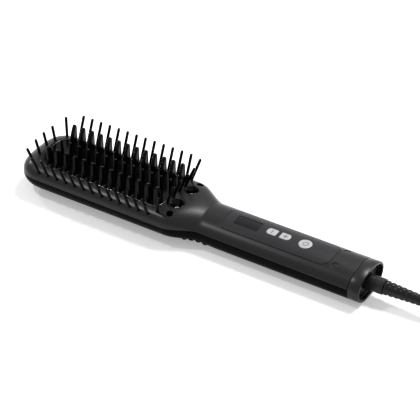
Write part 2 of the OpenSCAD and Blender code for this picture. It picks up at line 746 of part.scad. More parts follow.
plate_x = body_l - recess - 2;
core_start = body_l - 18;
module end_cap() color(charcoal) difference() {
    handle_bar(0, cap_start, body_l);
    handle_bar(wall, plate_x + 1.98, body_l + 1);
    handle_bar(wall + 0.5, cap_start - 1, body_l + 1);
}
module end_plate() color(near_black) difference() {
    handle_bar(wall + 0.5 + 0.05, plate_x, plate_x + 2);
    rod_x(sleeve_d + 0.16, plate_x - 1, plate_x + 3, 0, cord_z);
}
module swivel_housing() color(near_black) difference() {
    rod_x(17, core_start - 1.5, plate_x, 0, cord_z);
    rod_x(13, core_start, plate_x + 1, 0, cord_z);
    rod_x(3.4, core_start - 3, plate_x, 0, cord_z);
}
module swivel_core() color("#e2ddd0") rotate([0, 0, 0]) difference() {
    rod_x(9, core_start + 0.2, plate_x - 1.5, 0, cord_z);
    rod_x(2.4, core_start - 1, plate_x, 0, cord_z);
}
ring_xs = [core_start + 2.5, core_start + 6.5];
module slip_rings() color(brass) for (x = ring_xs) difference() {
    rod_x(10, x, x + 2, 0, cord_z);
    rod_x(9, x - 1, x + 3, 0, cord_z);
}
module contact_springs() color(brass) for (i = [0, 1])
    translate([ring_xs[i] + 0.5, i == 0 ? 5.05 : -6.25, cord_z - 1.6]) cube([1, 1.2, 3.2]);
sleeve_start = plate_x - 1.5;
sleeve_end = plate_x + 2 + sleeve_l;
relief_end = sleeve_end + relief_l;
module swivel_sleeve() color("#4c4c50") difference() {
    union() {
        rod_x(sleeve_d, sleeve_start + 1.2, sleeve_end, 0, cord_z);
        rod_x(12.6, sleeve_start, sleeve_start + 1.2, 0, cord_z);
    }
    rod_x(cord_d - 2, sleeve_start - 1, sleeve_end + 1, 0, cord_z);
}
rib_count = 7;
rib_pitch = (relief_l - cord_d) / rib_count;
function relief_r(t) = mix(sleeve_d / 2 - 0.6, cord_d / 2 + 0.9, t);
module strain_relief() color(gloss_black)
    translate([sleeve_end, 0, cord_z]) rotate([0, 90, 0]) rotate_extrude() polygon(concat(
        [[0, 0]],
        [for (i = [0:rib_count - 1]) each [
            [relief_r(i / rib_count), i * rib_pitch],
            [relief_r(i / rib_count), i * rib_pitch + 0.62 * rib_pitch],
            [relief_r(i / rib_count) - 0.8, i * rib_pitch + 0.72 * rib_pitch],
            [relief_r(i / rib_count) - 0.8, i * rib_pitch + 0.94 * rib_pitch]]],
        [[cord_d / 2 + 0.6, rib_count * rib_pitch], [cord_d / 2 + 0.5, relief_l], [0, relief_l]]));

module supply_wires() color("#7a3b20") for (s = [-1, 1])
    tube([[core_start - 1.5, s * 3.2, cord_z + 1], [core_start - 4, s * 3.2, cord_z + 1],
        [panel_end + 3.5, s * 2.6, cord_z + 1.4], [panel_end + 0.5, s * 2.4, board_under - 1.8],
        [panel_end + 0.5, s * 2.4, board_under - 0.1]], 0.8, 8);
module heater_wires() color("#b03a2e") for (s = [-1, 1])
    tube([[sensor_x, s * 4, clamp_z - clamp_t - 0.1], [sensor_x, s * 4, clamp_z - clamp_t - 1.8],
        [sensor_x + 8, s * 5, 8.5], [pin_end_x - 8, s * 11, 6.6], [pin_end_x + 8, s * 11, 6.6],
        [chamber_end + 2.2, s * 11, 7.6], [chamber_end + 12, s * 11, 11.6],
        [panel_start - 8, s * 10.6, 14.4], [panel_start - 4.5, s * 10.6, 14.7],
        [panel_start - 4.5, s * 10.6, board_under - 0.1]], 0.8, 8);

// Mains cord

// Round tube swept along points, with flat ends
function unit(v) = v / norm(v);
function heading(path, i) = i == 0 ? unit(path[1] - path[0])
    : i == len(path) - 1 ? unit(path[i] - path[i - 1])
    : unit(unit(path[i + 1] - path[i]) + unit(path[i] - path[i - 1]));
function side(d) = unit(cross(d, abs(d[2]) > 0.9 ? [0, 1, 0] : [0, 0, 1]));
module tube(path, r, sides) skin([for (i = [0:len(path) - 1])
    let (d = heading(path, i), u = side(d), v = cross(u, d))
    [for (k = [0:sides - 1]) let (a = 360 * k / sides + 180 / sides)
        path[i] + r * (cos(a) * u - sin(a) * v)]]);

cord_r = cord_d / 2;
coil_c = [relief_end + 71, 17];
coil_pitch = cord_d + 0.45;
coil_mean_r = 36;
coil_z = cord_r + 0.95;
coil_from = -130;
// So that the cord leaves the coil along X
coil_turns = 3.5 + (90 - coil_from) / 720;
coil_out_r = coil_mean_r + coil_turns * coil_pitch / 2;
coil_in_r = coil_mean_r - coil_turns * coil_pitch / 2;
layer_angle = 360 * coil_turns;
coil_span = 2 * layer_angle + 180;
function coil_r(a) = a < layer_angle ? coil_out_r - coil_pitch * a / 360
    : a < layer_angle + 90 ? coil_in_r - coil_pitch * (a - layer_angle) / 360
    : a < layer_angle + 180 ? coil_in_r - coil_pitch * (layer_angle + 180 - a) / 360
    : coil_in_r + coil_pitch * (a - layer_angle - 180) / 360;
function coil_height(a) = coil_z + coil_pitch * ease((a - layer_angle) / 180);
function coil_at(a) = [coil_c[0] + coil_r(a) * cos(coil_from + a),
    coil_c[1] + coil_r(a) * sin(coil_from + a), coil_height(a)];
coil_steps = 8 * 24 + 2;
coil_wind = [for (i = [0:coil_steps]) coil_at(coil_span * i / coil_steps)];
start_dir = unit([-sin(coil_from), cos(coil_from), 0]);
end_angle = coil_from + coil_span;
end_dir = [-sin(end_angle), cos(end_angle), 0];
coil_first = coil_wind[0] - cord_d * start_dir;
coil_last = coil_wind[coil_steps] + cord_d * end_dir;
coil_path = concat([coil_first], coil_wind, [coil_last]);
coil_gap = min([for (i = [0:coil_steps], j = [i + 12:1:coil_steps])
    norm(coil_wind[i] - coil_wind[j])]) - cord_d;
// Free stretch from the strain relief: one bend to the coil's first turn
lead_turn = -90 - coil_from;
lead_bend_r = 30;
lead_bend_x = coil_wind[0][0] + coil_wind[0][1] / tan(lead_turn) - lead_bend_r * tan(lead_turn / 2);
lead_bend_l = lead_bend_r * lead_turn * PI / 180;
lead_bend_end = [lead_bend_x + lead_bend_r * sin(lead_turn), -lead_bend_r * (1 - cos(lead_turn))];
lead_a = lead_bend_x - relief_end;
lead_l = lead_a + lead_bend_l + norm([coil_first[0], coil_first[1]] - lead_bend_end);
function lead_xy(s) = s < lead_a ? [relief_end + s, 0]
    : s < lead_a + lead_bend_l ? let (a = (s - lead_a) / lead_bend_r * 180 / PI)
        [lead_bend_x + lead_bend_r * sin(a), -lead_bend_r * (1 - cos(a))]
    : lead_bend_end + (s - lead_a - lead_bend_l) * [cos(lead_turn), -sin(lead_turn)];
// Level and straight over its first and last step, so that the ends meet their neighbours squarely
lead_level = 2.6;
lead_steps = 16;
lead_path = [for (i = [0:lead_steps]) let (s = lead_l * i / lead_steps, p = lead_xy(s))
    [p[0], p[1], mix(cord_z, coil_z, ease((s - lead_level) / (lead_l - 2 * lead_level)))]];
// Tail: off the coil, down to the surface and round to the plug beside the coil
plug_x = coil_c[0] + coil_out_r + cord_r + 16.25;
plug_y = -2;
plug_z = 6.1;
floor_z = cord_r + 0.1;
tail_y = coil_last[1];
tail_bend_r = 27;
tail_a = plug_x - tail_bend_r - coil_c[0];
tail_bend_l = tail_bend_r * PI / 2;
tail_l = tail_a + tail_bend_l + plug_y - tail_y - tail_bend_r;
tail_drop = 9.5;
tail_level = 2;
tail_floor = 40;
function tail_xy(s) = s < tail_a ? [coil_c[0] + s, tail_y]
    : s < tail_a + tail_bend_l ? let (a = (s - tail_a) / tail_bend_r * 180 / PI)
        [coil_c[0] + tail_a + tail_bend_r * sin(a), tail_y + tail_bend_r * (1 - cos(a))]
    : [plug_x, tail_y + tail_bend_r + s - tail_a - tail_bend_l];
function tail_z(s) = s < tail_floor
    ? mix(coil_z + coil_pitch, floor_z, ease((s - tail_drop) / (tail_floor - tail_drop)))
    : mix(floor_z, plug_z, ease((s - tail_floor) / (tail_l - tail_level - tail_floor)));
tail_steps = 24;
tail_path = concat([for (i = [0:tail_steps])
    let (s = mix(cord_d, tail_l - tail_level, i / tail_steps), p = tail_xy(s)) [p[0], p[1], tail_z(s)]],
    [[plug_x, plug_y, plug_z]]);
module plug_place() translate([plug_x, plug_y, plug_z]) rotate([0, 0, 90]) children();
module cord_lead() color(gloss_black) tube(lead_path, cord_r, 8);
module cord_coil() color(gloss_black) tube(coil_path, cord_r, 6);
module cord_tail() color(gloss_black) tube(tail_path, cord_r, 8);
tie_angle = 60;
tie_w = 12;
tie_t = 0.7;
module cord_tie() color("#2a2a2c") translate([coil_c[0], coil_c[1], 0]) rotate([0, 0, tie_angle])
    translate([coil_mean_r, tie_w / 2, 0]) rotate([90, 0, 0]) linear_extrude(tie_w) {
        half = (coil_out_r - coil_in_r) / 2 + coil_pitch / 2 + 2.6;
        low = coil_z - cord_r - 0.15;
        high = coil_z + coil_pitch + cord_r + 0.3;
        difference() {
            translate([-half - tie_t, low - tie_t]) square([2 * (half + tie_t), high - low + 2 * tie_t]);
            translate([-half, low]) square([2 * half, high - low]);
        }
    }
plug_boot_l = 18;
plug_body_l = 32;
plug_pin_l = 18;
module plug_boot() color(gloss_black) plug_place() rotate([0, 90, 0]) rotate_extrude()
    polygon([[0, 0], [cord_r + 0.6, 0], [cord_r + 1.8, plug_boot_l], [0, plug_boot_l]]);
module plug_body() color(gloss_black) plug_place() difference() {
    union() {
        translate([plug_boot_l, -9, -6]) cube([plug_body_l, 18, 12]);
        rod_x(12, plug_boot_l, plug_boot_l + plug_body_l, -9);
        rod_x(12, plug_boot_l, plug_boot_l + plug_body_l, 9);
    }
    for (s = [-1, 1]) rod_x(4.1, plug_boot_l + plug_body_l - 8, plug_boot_l + plug_body_l + 1, s * 9.5);
}
module plug_pins() color(brass) plug_place() translate([plug_boot_l + plug_body_l, 0, 0])
    for (s = [-1, 1]) {
        rod_x(4, -8, plug_pin_l, s * 9.5);
        translate([plug_pin_l, s * 9.5, 0]) sphere(d = 4, $fn = 24);
    }

echo(coil_gap = coil_gap);

// The origin is under the middle of the body
module placed() translate([-body_l / 2, 0, 0]) children();
placed() top_housing();
placed() bottom_housing();
placed() comb_rim();
placed() comb_plate();
placed() comb_blades();
placed() comb_teeth();
placed() outer_pins();
placed() pin_frame();
placed() heating_elements();
placed() insulating_sheet();
placed() heater_clamp();
placed() clamp_screws();
placed() thermistor();
placed() thermal_fuse();
placed() steam_chamber();
placed() steam_nozzles();
placed() steam_tube();
placed() pump_body();
placed() pump_plunger();
placed() pump_spring();
placed() steam_trigger();
placed() water_tank();
placed() tank_lid();
placed() water_tube();
placed() filler_plug();
placed() control_panel();
placed() display_window();
placed() display_module();
placed() minus_button();
placed() plus_button();
placed() power_button();
placed() push_switches();
placed() control_board();
placed() board_parts();
placed() board_screws();
placed() housing_screws();
placed() screw_plugs();
placed() end_cap();
placed() end_plate();
placed() swivel_housing();
placed() swivel_core();
placed() slip_rings();
placed() contact_springs();
placed() swivel_sleeve();
placed() strain_relief();
placed() supply_wires();
placed() heater_wires();
placed() cord_lead();
placed() cord_coil();
placed() cord_tail();
placed() cord_tie();
placed() plug_boot();
placed() plug_body();
placed() plug_pins();
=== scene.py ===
"""A steam hair straightener brush lying on its back, comb upwards, with its mains cord coiled beside it."""

import math

import bmesh
import bpy
from mathutils import Matrix, Vector


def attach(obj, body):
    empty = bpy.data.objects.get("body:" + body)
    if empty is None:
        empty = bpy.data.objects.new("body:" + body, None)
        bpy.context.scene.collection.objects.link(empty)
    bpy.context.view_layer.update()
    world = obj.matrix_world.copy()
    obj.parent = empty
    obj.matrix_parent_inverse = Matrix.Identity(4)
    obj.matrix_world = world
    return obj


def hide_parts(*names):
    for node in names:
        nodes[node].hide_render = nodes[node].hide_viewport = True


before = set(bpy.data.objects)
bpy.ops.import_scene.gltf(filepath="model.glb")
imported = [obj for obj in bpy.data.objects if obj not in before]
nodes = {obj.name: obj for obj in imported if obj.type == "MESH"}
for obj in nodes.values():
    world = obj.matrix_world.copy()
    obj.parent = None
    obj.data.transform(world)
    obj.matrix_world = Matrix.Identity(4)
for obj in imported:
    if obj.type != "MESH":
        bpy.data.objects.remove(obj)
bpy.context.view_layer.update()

# Sizes are in millimetres, with x measured from the tip of the head, and become metres in the mesh.
MM = 0.001
HALF = 145.0


def place(p):
    return Vector(((p[0] - HALF) * MM, p[1] * MM, p[2] * MM))


# ---------------------------------------------------------------- camera

def look_at(camera, target, direction, distance, roll):
    """Puts the camera along direction from the target, turned by roll about its own axis."""
    direction = direction.normalized()
    camera.location = target + direction * distance
    turn = direction.to_track_quat("Z", "Y").to_matrix().to_4x4()
    camera.rotation_euler = (turn @ Matrix.Rotation(roll, 4, "Z")).to_euler()


azimuth, height_angle = math.radians(32.64), math.radians(36.63)
toward_camera = Vector((
    math.sin(azimuth) * math.cos(height_angle),
    -math.cos(azimuth) * math.cos(height_angle),
    math.sin(height_angle),
))
camera_data = bpy.data.cameras.new("photo_camera")
camera_data.sensor_width = 36.0
camera_data.lens = 155.14
camera_data.shift_x = 0.0357
camera_data.shift_y = 0.0086
camera_data.clip_start = 0.05
camera_data.clip_end = 20.0
camera = bpy.data.objects.new("photo_camera", camera_data)
bpy.context.scene.collection.objects.link(camera)
look_at(camera, Vector((0, 0, 15 * MM)), toward_camera, 1.3212, math.radians(-0.61))
bpy.context.scene.camera = camera


# ---------------------------------------------------------------- outline of the body

HEAD_W, HANDLE_W = 57.2, 39.2
HEAD_TOP, HANDLE_TOP = 27.0, 24.2
HEAD_MID, HANDLE_MID = 15.6, 12.3
NOSE_L, NOSE_TOP_L, NOSE_UNDER_L = 22.0, 16.0, 24.0
NECK_START, NECK_END = 133.0, 160.0
ARCH_H, ARCH_MID, ARCH_HALF = 1.6, 155.0, 20.0
BODY_L, CAP_START = 290.0, 281.0
WALL = 2.0
TIP_FLAT, FLAT_SINK = 0.15, 0.8
SEAM_TIP_Z, SEAM_DROP = 16.4, 2.2


def mix(a, b, t):
    return a + (b - a) * t


def ease(v):
    v = max(0.0, min(1.0, v))
    return v * v * (3 - 2 * v)


def neck(x):
    return ease((x - NECK_START) / (NECK_END - NECK_START))


def crest_drop(x):
    t = max(0.0, min(1.0, (x - NECK_START - 6) / (NECK_END - NECK_START - 9)))
    return t * t * (3 - t) / 2


def nose(x, inset, length, n):
    if x >= length:
        return 1.0
    t = max(0.0, min(1.0, (length - max(x, inset + TIP_FLAT)) / (length - inset)))
    return max(0.0, 1 - t ** n) ** (1 / n)


def arch(x):
    return ARCH_H * ease(1 - max(0.0, min(1.0, abs(x - ARCH_MID) / ARCH_HALF)))


def mid_z(x):
    return mix(HEAD_MID, HANDLE_MID, neck(x))


def half_width(x, inset=0.0):
    return (mix(HEAD_W, HANDLE_W, neck(x)) / 2 - inset) * nose(x, inset, NOSE_L, 2.4)


def ring(x, inset, count):
    """Points round the body at x, drawn in by inset."""
    w = half_width(x, inset)
    up = (mix(HEAD_TOP, HANDLE_TOP, crest_drop(x)) - mid_z(x) - inset) * nose(x, inset, NOSE_TOP_L, 2)
    down = (mid_z(x) + FLAT_SINK - arch(x) - inset) * nose(x, inset, NOSE_UNDER_L, 2)
    low = mid_z(x) - (mid_z(x) - arch(x) - inset) * nose(x, inset, NOSE_UNDER_L, 2)
    n_up = mix(3.0, 2.1, neck(x))
    points = []
    for i in range(count):
        a = 2 * math.pi * i / count
        c, s = math.cos(a), math.sin(a)
        n = n_up if s >= 0 else 2.1
        y = w * math.copysign(abs(c) ** (2 / n_up if s >= 0 else 2 / 2.1), c)
        z = mid_z(x) + (up if s >= 0 else down) * math.copysign(abs(s) ** (2 / n), s)
        points.append((x, y, max(low, z)))
    return points


def face_z(x, y):
    """Height of the top shell's outer face."""
    n = mix(3.0, 2.1, neck(x))
    rise = (mix(HEAD_TOP, HANDLE_TOP, crest_drop(x)) - mid_z(x)) * nose(x, 0, NOSE_TOP_L, 2)
    return mid_z(x) + rise * max(0.0, 1 - min(1.0, abs(y) / half_width(x)) ** n) ** (1 / n)


def seam_z(x):
    return SEAM_TIP_Z - SEAM_DROP * x / BODY_L


def stations(inset, x0, x1):
    """Close together on the nose and the neck, far apart on the straight handle."""
    first = max(x0, inset)
    xs = [inset + (NOSE_UNDER_L - inset) * (1 - math.cos(math.pi / 2 * i / 22)) for i in range(1, 23)]
    xs += [30 + 8 * i for i in range(13)] + [130 + 1.0 * i for i in range(52)]
    xs += [190 + 15 * i for i in range(7)]
    return [first] + [x for x in xs if first + 0.2 < x < x1 - 0.2] + [x1]


# ---------------------------------------------------------------- mesh helpers

def add_object(name, data):
    obj = bpy.data.objects.new(name, data)
    bpy.context.scene.collection.objects.link(obj)
    return obj


def mesh_object(name, points, faces):
    """A mesh from points in millimetres, with its faces turned outwards."""
    data = bpy.data.meshes.new(name)
    data.from_pydata([place(p) for p in points], [], faces)
    bm = bmesh.new()
    bm.from_mesh(data)
    bmesh.ops.remove_doubles(bm, verts=bm.verts, dist=1e-7)
    bmesh.ops.recalc_face_normals(bm, faces=bm.faces)
    bm.to_mesh(data)
    bm.free()
    return add_object(name, data)


def loft(name, rings, closed_path=False):
    """A skin over rings of equal count, with flat ends unless the path closes on itself."""
    count = len(rings[0])
    points = [p for r in rings for p in r]
    last = len(rings) if closed_path else len(rings) - 1
    faces = []
    for j in range(last):
        a, b = j * count, ((j + 1) % len(rings)) * count
        for i in range(count):
            k = (i + 1) % count
            faces.append((a + i, a + k, b + k, b + i))
    if not closed_path:
        faces.append(tuple(range(count)))
        faces.append(tuple((len(rings) - 1) * count + i for i in range(count)))
    return mesh_object(name, points, faces)


def body_form(name, inset, x0, x1, count=120):
    return loft(name, [ring(x, inset, count) for x in stations(inset, x0, x1)])


def handle_bar(name, inset, x0, x1, count=120):
    return loft(name, [[(x, p[1], p[2]) for p in ring(BODY_L, inset, count)] for x in (x0, x1)])


def handle_band(name, profile, count=160):
    """A band round the handle: profile is a closed loop of (x, inset)."""
    return loft(name, [[(x, p[1], p[2]) for p in ring(BODY_L, inset, count)] for x, inset in profile], True)


def prism(name, outline, z0, z1):
    """An upright prism over an outline of (x, y)."""
    n = len(outline)
    points = [(x, y, z0) for x, y in outline] + [(x, y, z1) for x, y in outline]
    faces = [(i, (i + 1) % n, n + (i + 1) % n, n + i) for i in range(n)]
    return mesh_object(name, points, faces + [tuple(range(n)), tuple(range(n, 2 * n))])


def round_plate(x0, x1, width, ra, rb, steps=8):
    """Outline of a rectangle whose corners have radius ra at x0 and rb at x1."""
    corners = ((x1 - rb, width / 2 - rb, rb, 0), (x0 + ra, width / 2 - ra, ra, 90),
               (x0 + ra, -width / 2 + ra, ra, 180), (x1 - rb, -width / 2 + rb, rb, 270))
    return [(cx + r * math.cos(math.radians(start + 90 * i / steps)),
             cy + r * math.sin(math.radians(start + 90 * i / steps)))
            for cx, cy, r, start in corners for i in range(steps + 1)]


def circle(x, y, r, steps=48):
    return [(x + r * math.cos(2 * math.pi * i / steps), y + r * math.sin(2 * math.pi * i / steps))
            for i in range(steps)]


def lathe(name, profile, centre, axis="X", steps=48):
    """A body of revolution: profile is (distance along the axis, radius), from pole to pole or closed."""
    rings = []
    for along, r in profile:
        r = max(r, 0.0)
        turn = []
        for i in range(steps):
            a = 2 * math.pi * i / steps
            c, s = r * math.cos(a), r * math.sin(a)
            turn.append((centre[0] + along, centre[1] + c, centre[2] + s) if axis == "X"
                        else (centre[0] + c, centre[1] + s, centre[2] + along))
        rings.append(turn)
    from_pole_to_pole = profile[0][1] < 1e-6 and profile[-1][1] < 1e-6
    return loft(name, rings, closed_path=not from_pole_to_pole)


def evaluated(obj):
    """Bakes the modifiers of an object into its mesh."""
    graph = bpy.context.evaluated_depsgraph_get()
    graph.update()
    data = bpy.data.meshes.new_from_object(obj.evaluated_get(graph))
    obj.modifiers.clear()
    old = obj.data
    obj.data = data
    if isinstance(old, bpy.types.Mesh) and old.users == 0:
        bpy.data.meshes.remove(old)
    return obj


def remove(obj):
    data = obj.data
    bpy.data.objects.remove(obj)
    if isinstance(data, bpy.types.Mesh) and data.users == 0:
        bpy.data.meshes.remove(data)


def carve(obj, cutters, mode="DIFFERENCE"):
    """Cuts the cutters out of an object, or keeps what it shares with each, and uses them up."""
    for cutter in cutters:
        cut = obj.modifiers.new("cut", "BOOLEAN")
        cut.operation = mode
        cut.solver = "EXACT"
        cut.object = cutter
        evaluated(obj)
        remove(cutter)
    return obj


def soften(obj, width=0.0, segments=2, limit=35.0, smooth=32.0):
    """Rounds the sharp edges by width in millimetres, and shades smooth between the rest."""
    if width:
        edge = obj.modifiers.new("edge", "BEVEL")
        edge.width = width * MM
        edge.segments = segments
        edge.limit_method = "ANGLE"
        edge.angle_limit = math.radians(limit)
        edge.harden_normals = False
        evaluated(obj)
    obj.data.shade_smooth()
    obj.data.set_sharp_from_angle(angle=math.radians(smooth))
    return obj


def joined(name, parts):
    """Several meshes as one object."""
    bm = bmesh.new()
    for part in parts:
        bm.from_mesh(part.data)
    data = bpy.data.meshes.new(name)
    bm.to_mesh(data)
    bm.free()
    for part in parts:
        remove(part)
    return add_object(name, data)


def dress(obj, material, body, slot, *stands_for):
    """Gives a finished piece its material and its body, and hides the nodes that it stands for."""
    obj.data.materials.clear()
    obj.data.materials.append(material)
    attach(obj, body)
    if stands_for:
        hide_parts(*stands_for)
    return obj


# ---------------------------------------------------------------- material helpers

def linear(hex_code):
    """sRGB hex to linear colour."""
    out = []
    for i in (1, 3, 5):
        c = int(hex_code[i:i + 2], 16) / 255
        out.append(c / 12.92 if c <= 0.04045 else ((c + 0.055) / 1.055) ** 2.4)
    return (*out, 1.0)


def node(tree, kind, links=(), **settings):
    """Adds a node. Settings are its properties or input values, and links are (input, output socket)."""
    made = tree.nodes.new(kind)
    for key, value in settings.items():
        if hasattr(made, key):
            setattr(made, key, value)
        else:
            made.inputs[key.replace("_", " ")].default_value = value
    for socket, source in links:
        tree.links.new(source, made.inputs[socket])
    return made


# Size of the clouds in a finish, and how far they change its roughness
CLOUD_MM, ROUGH_SPREAD = 18, 0.08


def finish_of(name, colour, roughness, grain_mm=0.3, grain=0.15, tint=0.06, metallic=0.0, specular=0.5,
              edge_mm=0.0, ior=1.46, sheen=0.0):
    """A solid finish: a little cloud in the colour, a moulded or blasted grain, and softened edges."""
    material = bpy.data.materials.new(name)
    material.use_nodes = True
    tree = material.node_tree
    shader = tree.nodes["Principled BSDF"]
    shader.inputs["Metallic"].default_value = metallic
    shader.inputs["Specular IOR Level"].default_value = specular
    if not metallic:
        shader.inputs["IOR"].default_value = ior
    shader.inputs["Sheen Weight"].default_value = sheen
    where = node(tree, "ShaderNodeTexCoord").outputs["Object"]
    cloud = node(tree, "ShaderNodeTexNoise", [("Vector", where)], Scale=1 / (CLOUD_MM * MM), Detail=3.0)
    shade = node(tree, "ShaderNodeValToRGB", [("Fac", cloud.outputs["Fac"])])
    base = linear(colour)
    shade.color_ramp.elements[0].position = 0.3
    shade.color_ramp.elements[1].position = 0.7
    shade.color_ramp.elements[0].color = (*[c * (1 - tint) for c in base[:3]], 1)
    shade.color_ramp.elements[1].color = (*[min(1.0, c * (1 + tint)) for c in base[:3]], 1)
    tree.links.new(shade.outputs["Color"], shader.inputs["Base Color"])
    speck = node(tree, "ShaderNodeTexNoise", [("Vector", where)], Scale=1 / (grain_mm * MM), Detail=2.0)
    level = node(tree, "ShaderNodeMapRange", [("Value", cloud.outputs["Fac"])])
    level.inputs["To Min"].default_value = max(0.02, roughness * (1 - ROUGH_SPREAD))
    level.inputs["To Max"].default_value = min(1.0, roughness * (1 + ROUGH_SPREAD))
    tree.links.new(level.outputs["Result"], shader.inputs["Roughness"])
    bump = node(tree, "ShaderNodeBump", [("Height", speck.outputs["Fac"])],
                Strength=grain, Distance=0.02 * MM)
    if edge_mm:
        rounded = node(tree, "ShaderNodeBevel", samples=6, Radius=edge_mm * MM)
        tree.links.new(rounded.outputs["Normal"], bump.inputs["Normal"])
    tree.links.new(bump.outputs["Normal"], shader.inputs["Normal"])
    return material


# Moulded ABS with a fine spark-eroded grain: a soft sheen over charcoal.
abs_charcoal = finish_of("spark_eroded_abs_charcoal", "#131315", 0.3, grain_mm=0.45, grain=0.2, edge_mm=0.45,
                         specular=0.24)
# The same ABS in black for the lower shell.
abs_black = finish_of("spark_eroded_abs_black", "#060607", 0.36, grain_mm=0.45, grain=0.15, edge_mm=0.4,
                      specular=0.05, ior=1.3)
# Heat-proof nylon moulded in a polished tool: deep black with sharp lights.
comb_nylon = finish_of("polished_nylon_black", "#020202", 0.14, grain_mm=1.2, grain=0.03,
                       specular=0.2, ior=1.3)
# Nylon pins, a little duller than the comb.
pin_nylon = finish_of("moulded_nylon_black", "#030303", 0.3, grain_mm=0.8, grain=0.05, specular=0.08)
# Black-chromed ABS: a dark mirror.
chromed_trim = finish_of("black_chromed_abs", "#37383b", 0.16, grain_mm=2.0, grain=0.03,
                         metallic=1.0, tint=0.02)
# Polycarbonate panel with a very fine matt grain.
panel_pc = finish_of("matt_polycarbonate_panel", "#18181b", 0.36, grain_mm=0.35, grain=0.16, edge_mm=0.25,
                     specular=0.22)
# Smoked acrylic over a dark display: smooth, so that it mirrors.
smoked_acrylic = finish_of("smoked_acrylic", "#0c0c10", 0.1, grain_mm=3.0, grain=0.01, specular=0.18)
# Grey key caps with a silky face, which the lamps lift to silver white.
key_abs = finish_of("silk_abs_light_grey", "#9c9ca0", 0.32, grain_mm=0.4, grain=0.06, tint=0.02)
# Pad-printed grey marks on the keys.
key_mark = finish_of("printed_mark_grey", "#5c5c60", 0.5, grain_mm=0.4, grain=0.05, tint=0.03)
# Dark grey acetal of the swivel sleeve and its core.
acetal_grey = finish_of("turned_acetal_grey", "#1c1c1e", 0.3, grain_mm=0.5, grain=0.08, specular=0.2)
# Soft PVC of the cord, the boot and the plug.
soft_pvc = finish_of("soft_pvc_black", "#070708", 0.2, grain_mm=0.7, grain=0.08, specular=0.24)
# Woven nylon of the cord's tie.
woven_tie = finish_of("woven_nylon_tie", "#161618", 0.8, grain_mm=0.6, grain=0.6, sheen=0.3)
# Metals inside and on the plug: warm yellow brass, cool silver zinc, bright nickel and dull cast aluminium.
turned_brass = finish_of("turned_brass", "#c8a24a", 0.25, grain_mm=0.4, grain=0.06, metallic=1.0)
plated_steel = finish_of("zinc_plated_steel", "#b4b6ba", 0.3, grain_mm=0.4, grain=0.08, metallic=1.0)
nickel_pin = finish_of("nickel_plated_brass", "#c9c6bd", 0.18, grain_mm=0.6, grain=0.04, metallic=1.0)
cast_aluminium = finish_of("die_cast_aluminium", "#b9bbbf", 0.42, grain_mm=0.6, grain=0.3, metallic=1.0)
# Inner pieces: smoky plastic, milky silicone, green board, mottled mica, dark glass and glossy ceramic.
smoked_pc = finish_of("smoked_polycarbonate", "#39414b", 0.2, grain_mm=1.0, grain=0.03)
silicone_tube = finish_of("silicone_tube", "#c9c9c6", 0.45, grain_mm=0.6, grain=0.06)
solder_mask = finish_of("solder_mask_green", "#1f5a30", 0.3, grain_mm=0.5, grain=0.1)
mica_sheet = finish_of("mica_sheet", "#8a7f70", 0.55, grain_mm=0.5, grain=0.3, tint=0.15)
wire_red = finish_of("silicone_wire_red", "#9c2f24", 0.45, grain_mm=0.5, grain=0.08)
wire_brown = finish_of("pvc_wire_brown", "#5a2f1a", 0.4, grain_mm=0.5, grain=0.08)
lcd_glass = finish_of("display_glass", "#1c262c", 0.1, grain_mm=2.0, grain=0.01)
ceramic_red = finish_of("glazed_ceramic_red", "#7a2f20", 0.2, grain_mm=0.8, grain=0.05)


# ---------------------------------------------------------------- the mains cord

CORD_D = 6.0
CORD_Z = 12.2
RELIEF_START, RELIEF_END = 301.0, 336.0
COIL_CENTRE = (407.0, 17.0)
COIL_PITCH = 6.45
COIL_MEAN_R = 36.0
COIL_Z = 3.95
COIL_FROM = -130.0
COIL_TURNS = 3.5 + (90 - COIL_FROM) / 720
COIL_OUT_R = COIL_MEAN_R + COIL_TURNS * COIL_PITCH / 2
COIL_IN_R = COIL_MEAN_R - COIL_TURNS * COIL_PITCH / 2
LAYER_ANGLE = 360 * COIL_TURNS
COIL_SPAN = 2 * LAYER_ANGLE + 180
PLUG = (COIL_CENTRE[0] + COIL_OUT_R + CORD_D / 2 + 16.25, -2.0, 6.1)


def coil_at(a):
    """A point of the coil after a degrees: inwards on the lower layer, up in half a turn, and out again."""
    if a < LAYER_ANGLE:
        r = COIL_OUT_R - COIL_PITCH * a / 360
    elif a < LAYER_ANGLE + 90:
        r = COIL_IN_R - COIL_PITCH * (a - LAYER_ANGLE) / 360
    elif a < LAYER_ANGLE + 180:
        r = COIL_IN_R - COIL_PITCH * (LAYER_ANGLE + 180 - a) / 360
    else:
        r = COIL_IN_R + COIL_PITCH * (a - LAYER_ANGLE - 180) / 360
    turn = math.radians(COIL_FROM + a)
    height = COIL_Z + COIL_PITCH * ease((a - LAYER_ANGLE) / 180)
    return Vector((COIL_CENTRE[0] + r * math.cos(turn), COIL_CENTRE[1] + r * math.sin(turn), height))


def run_bend(x, y, z_at, straight, radius, turn, total, steps, skip=0.0):
    """A run along X, then one bend of turn degrees, then straight on, with heights from z_at."""
    bend = math.radians(abs(turn)) * radius
    way = math.copysign(1, turn)
    points = []
    for i in range(steps + 1):
        s = mix(skip, total, i / steps)
        a = max(0.0, min(1.0, (s - straight) / bend)) * math.radians(abs(turn))
        rest = max(0.0, s - straight - bend)
        points.append(Vector((x + min(s, straight) + radius * math.sin(a) + rest * math.cos(a),
                              y + way * (radius * (1 - math.cos(a)) + rest * math.sin(a)), z_at(s))))
    return points


COIL_STEPS = 400
coil = [coil_at(COIL_SPAN * i / COIL_STEPS) for i in range(COIL_STEPS + 1)]

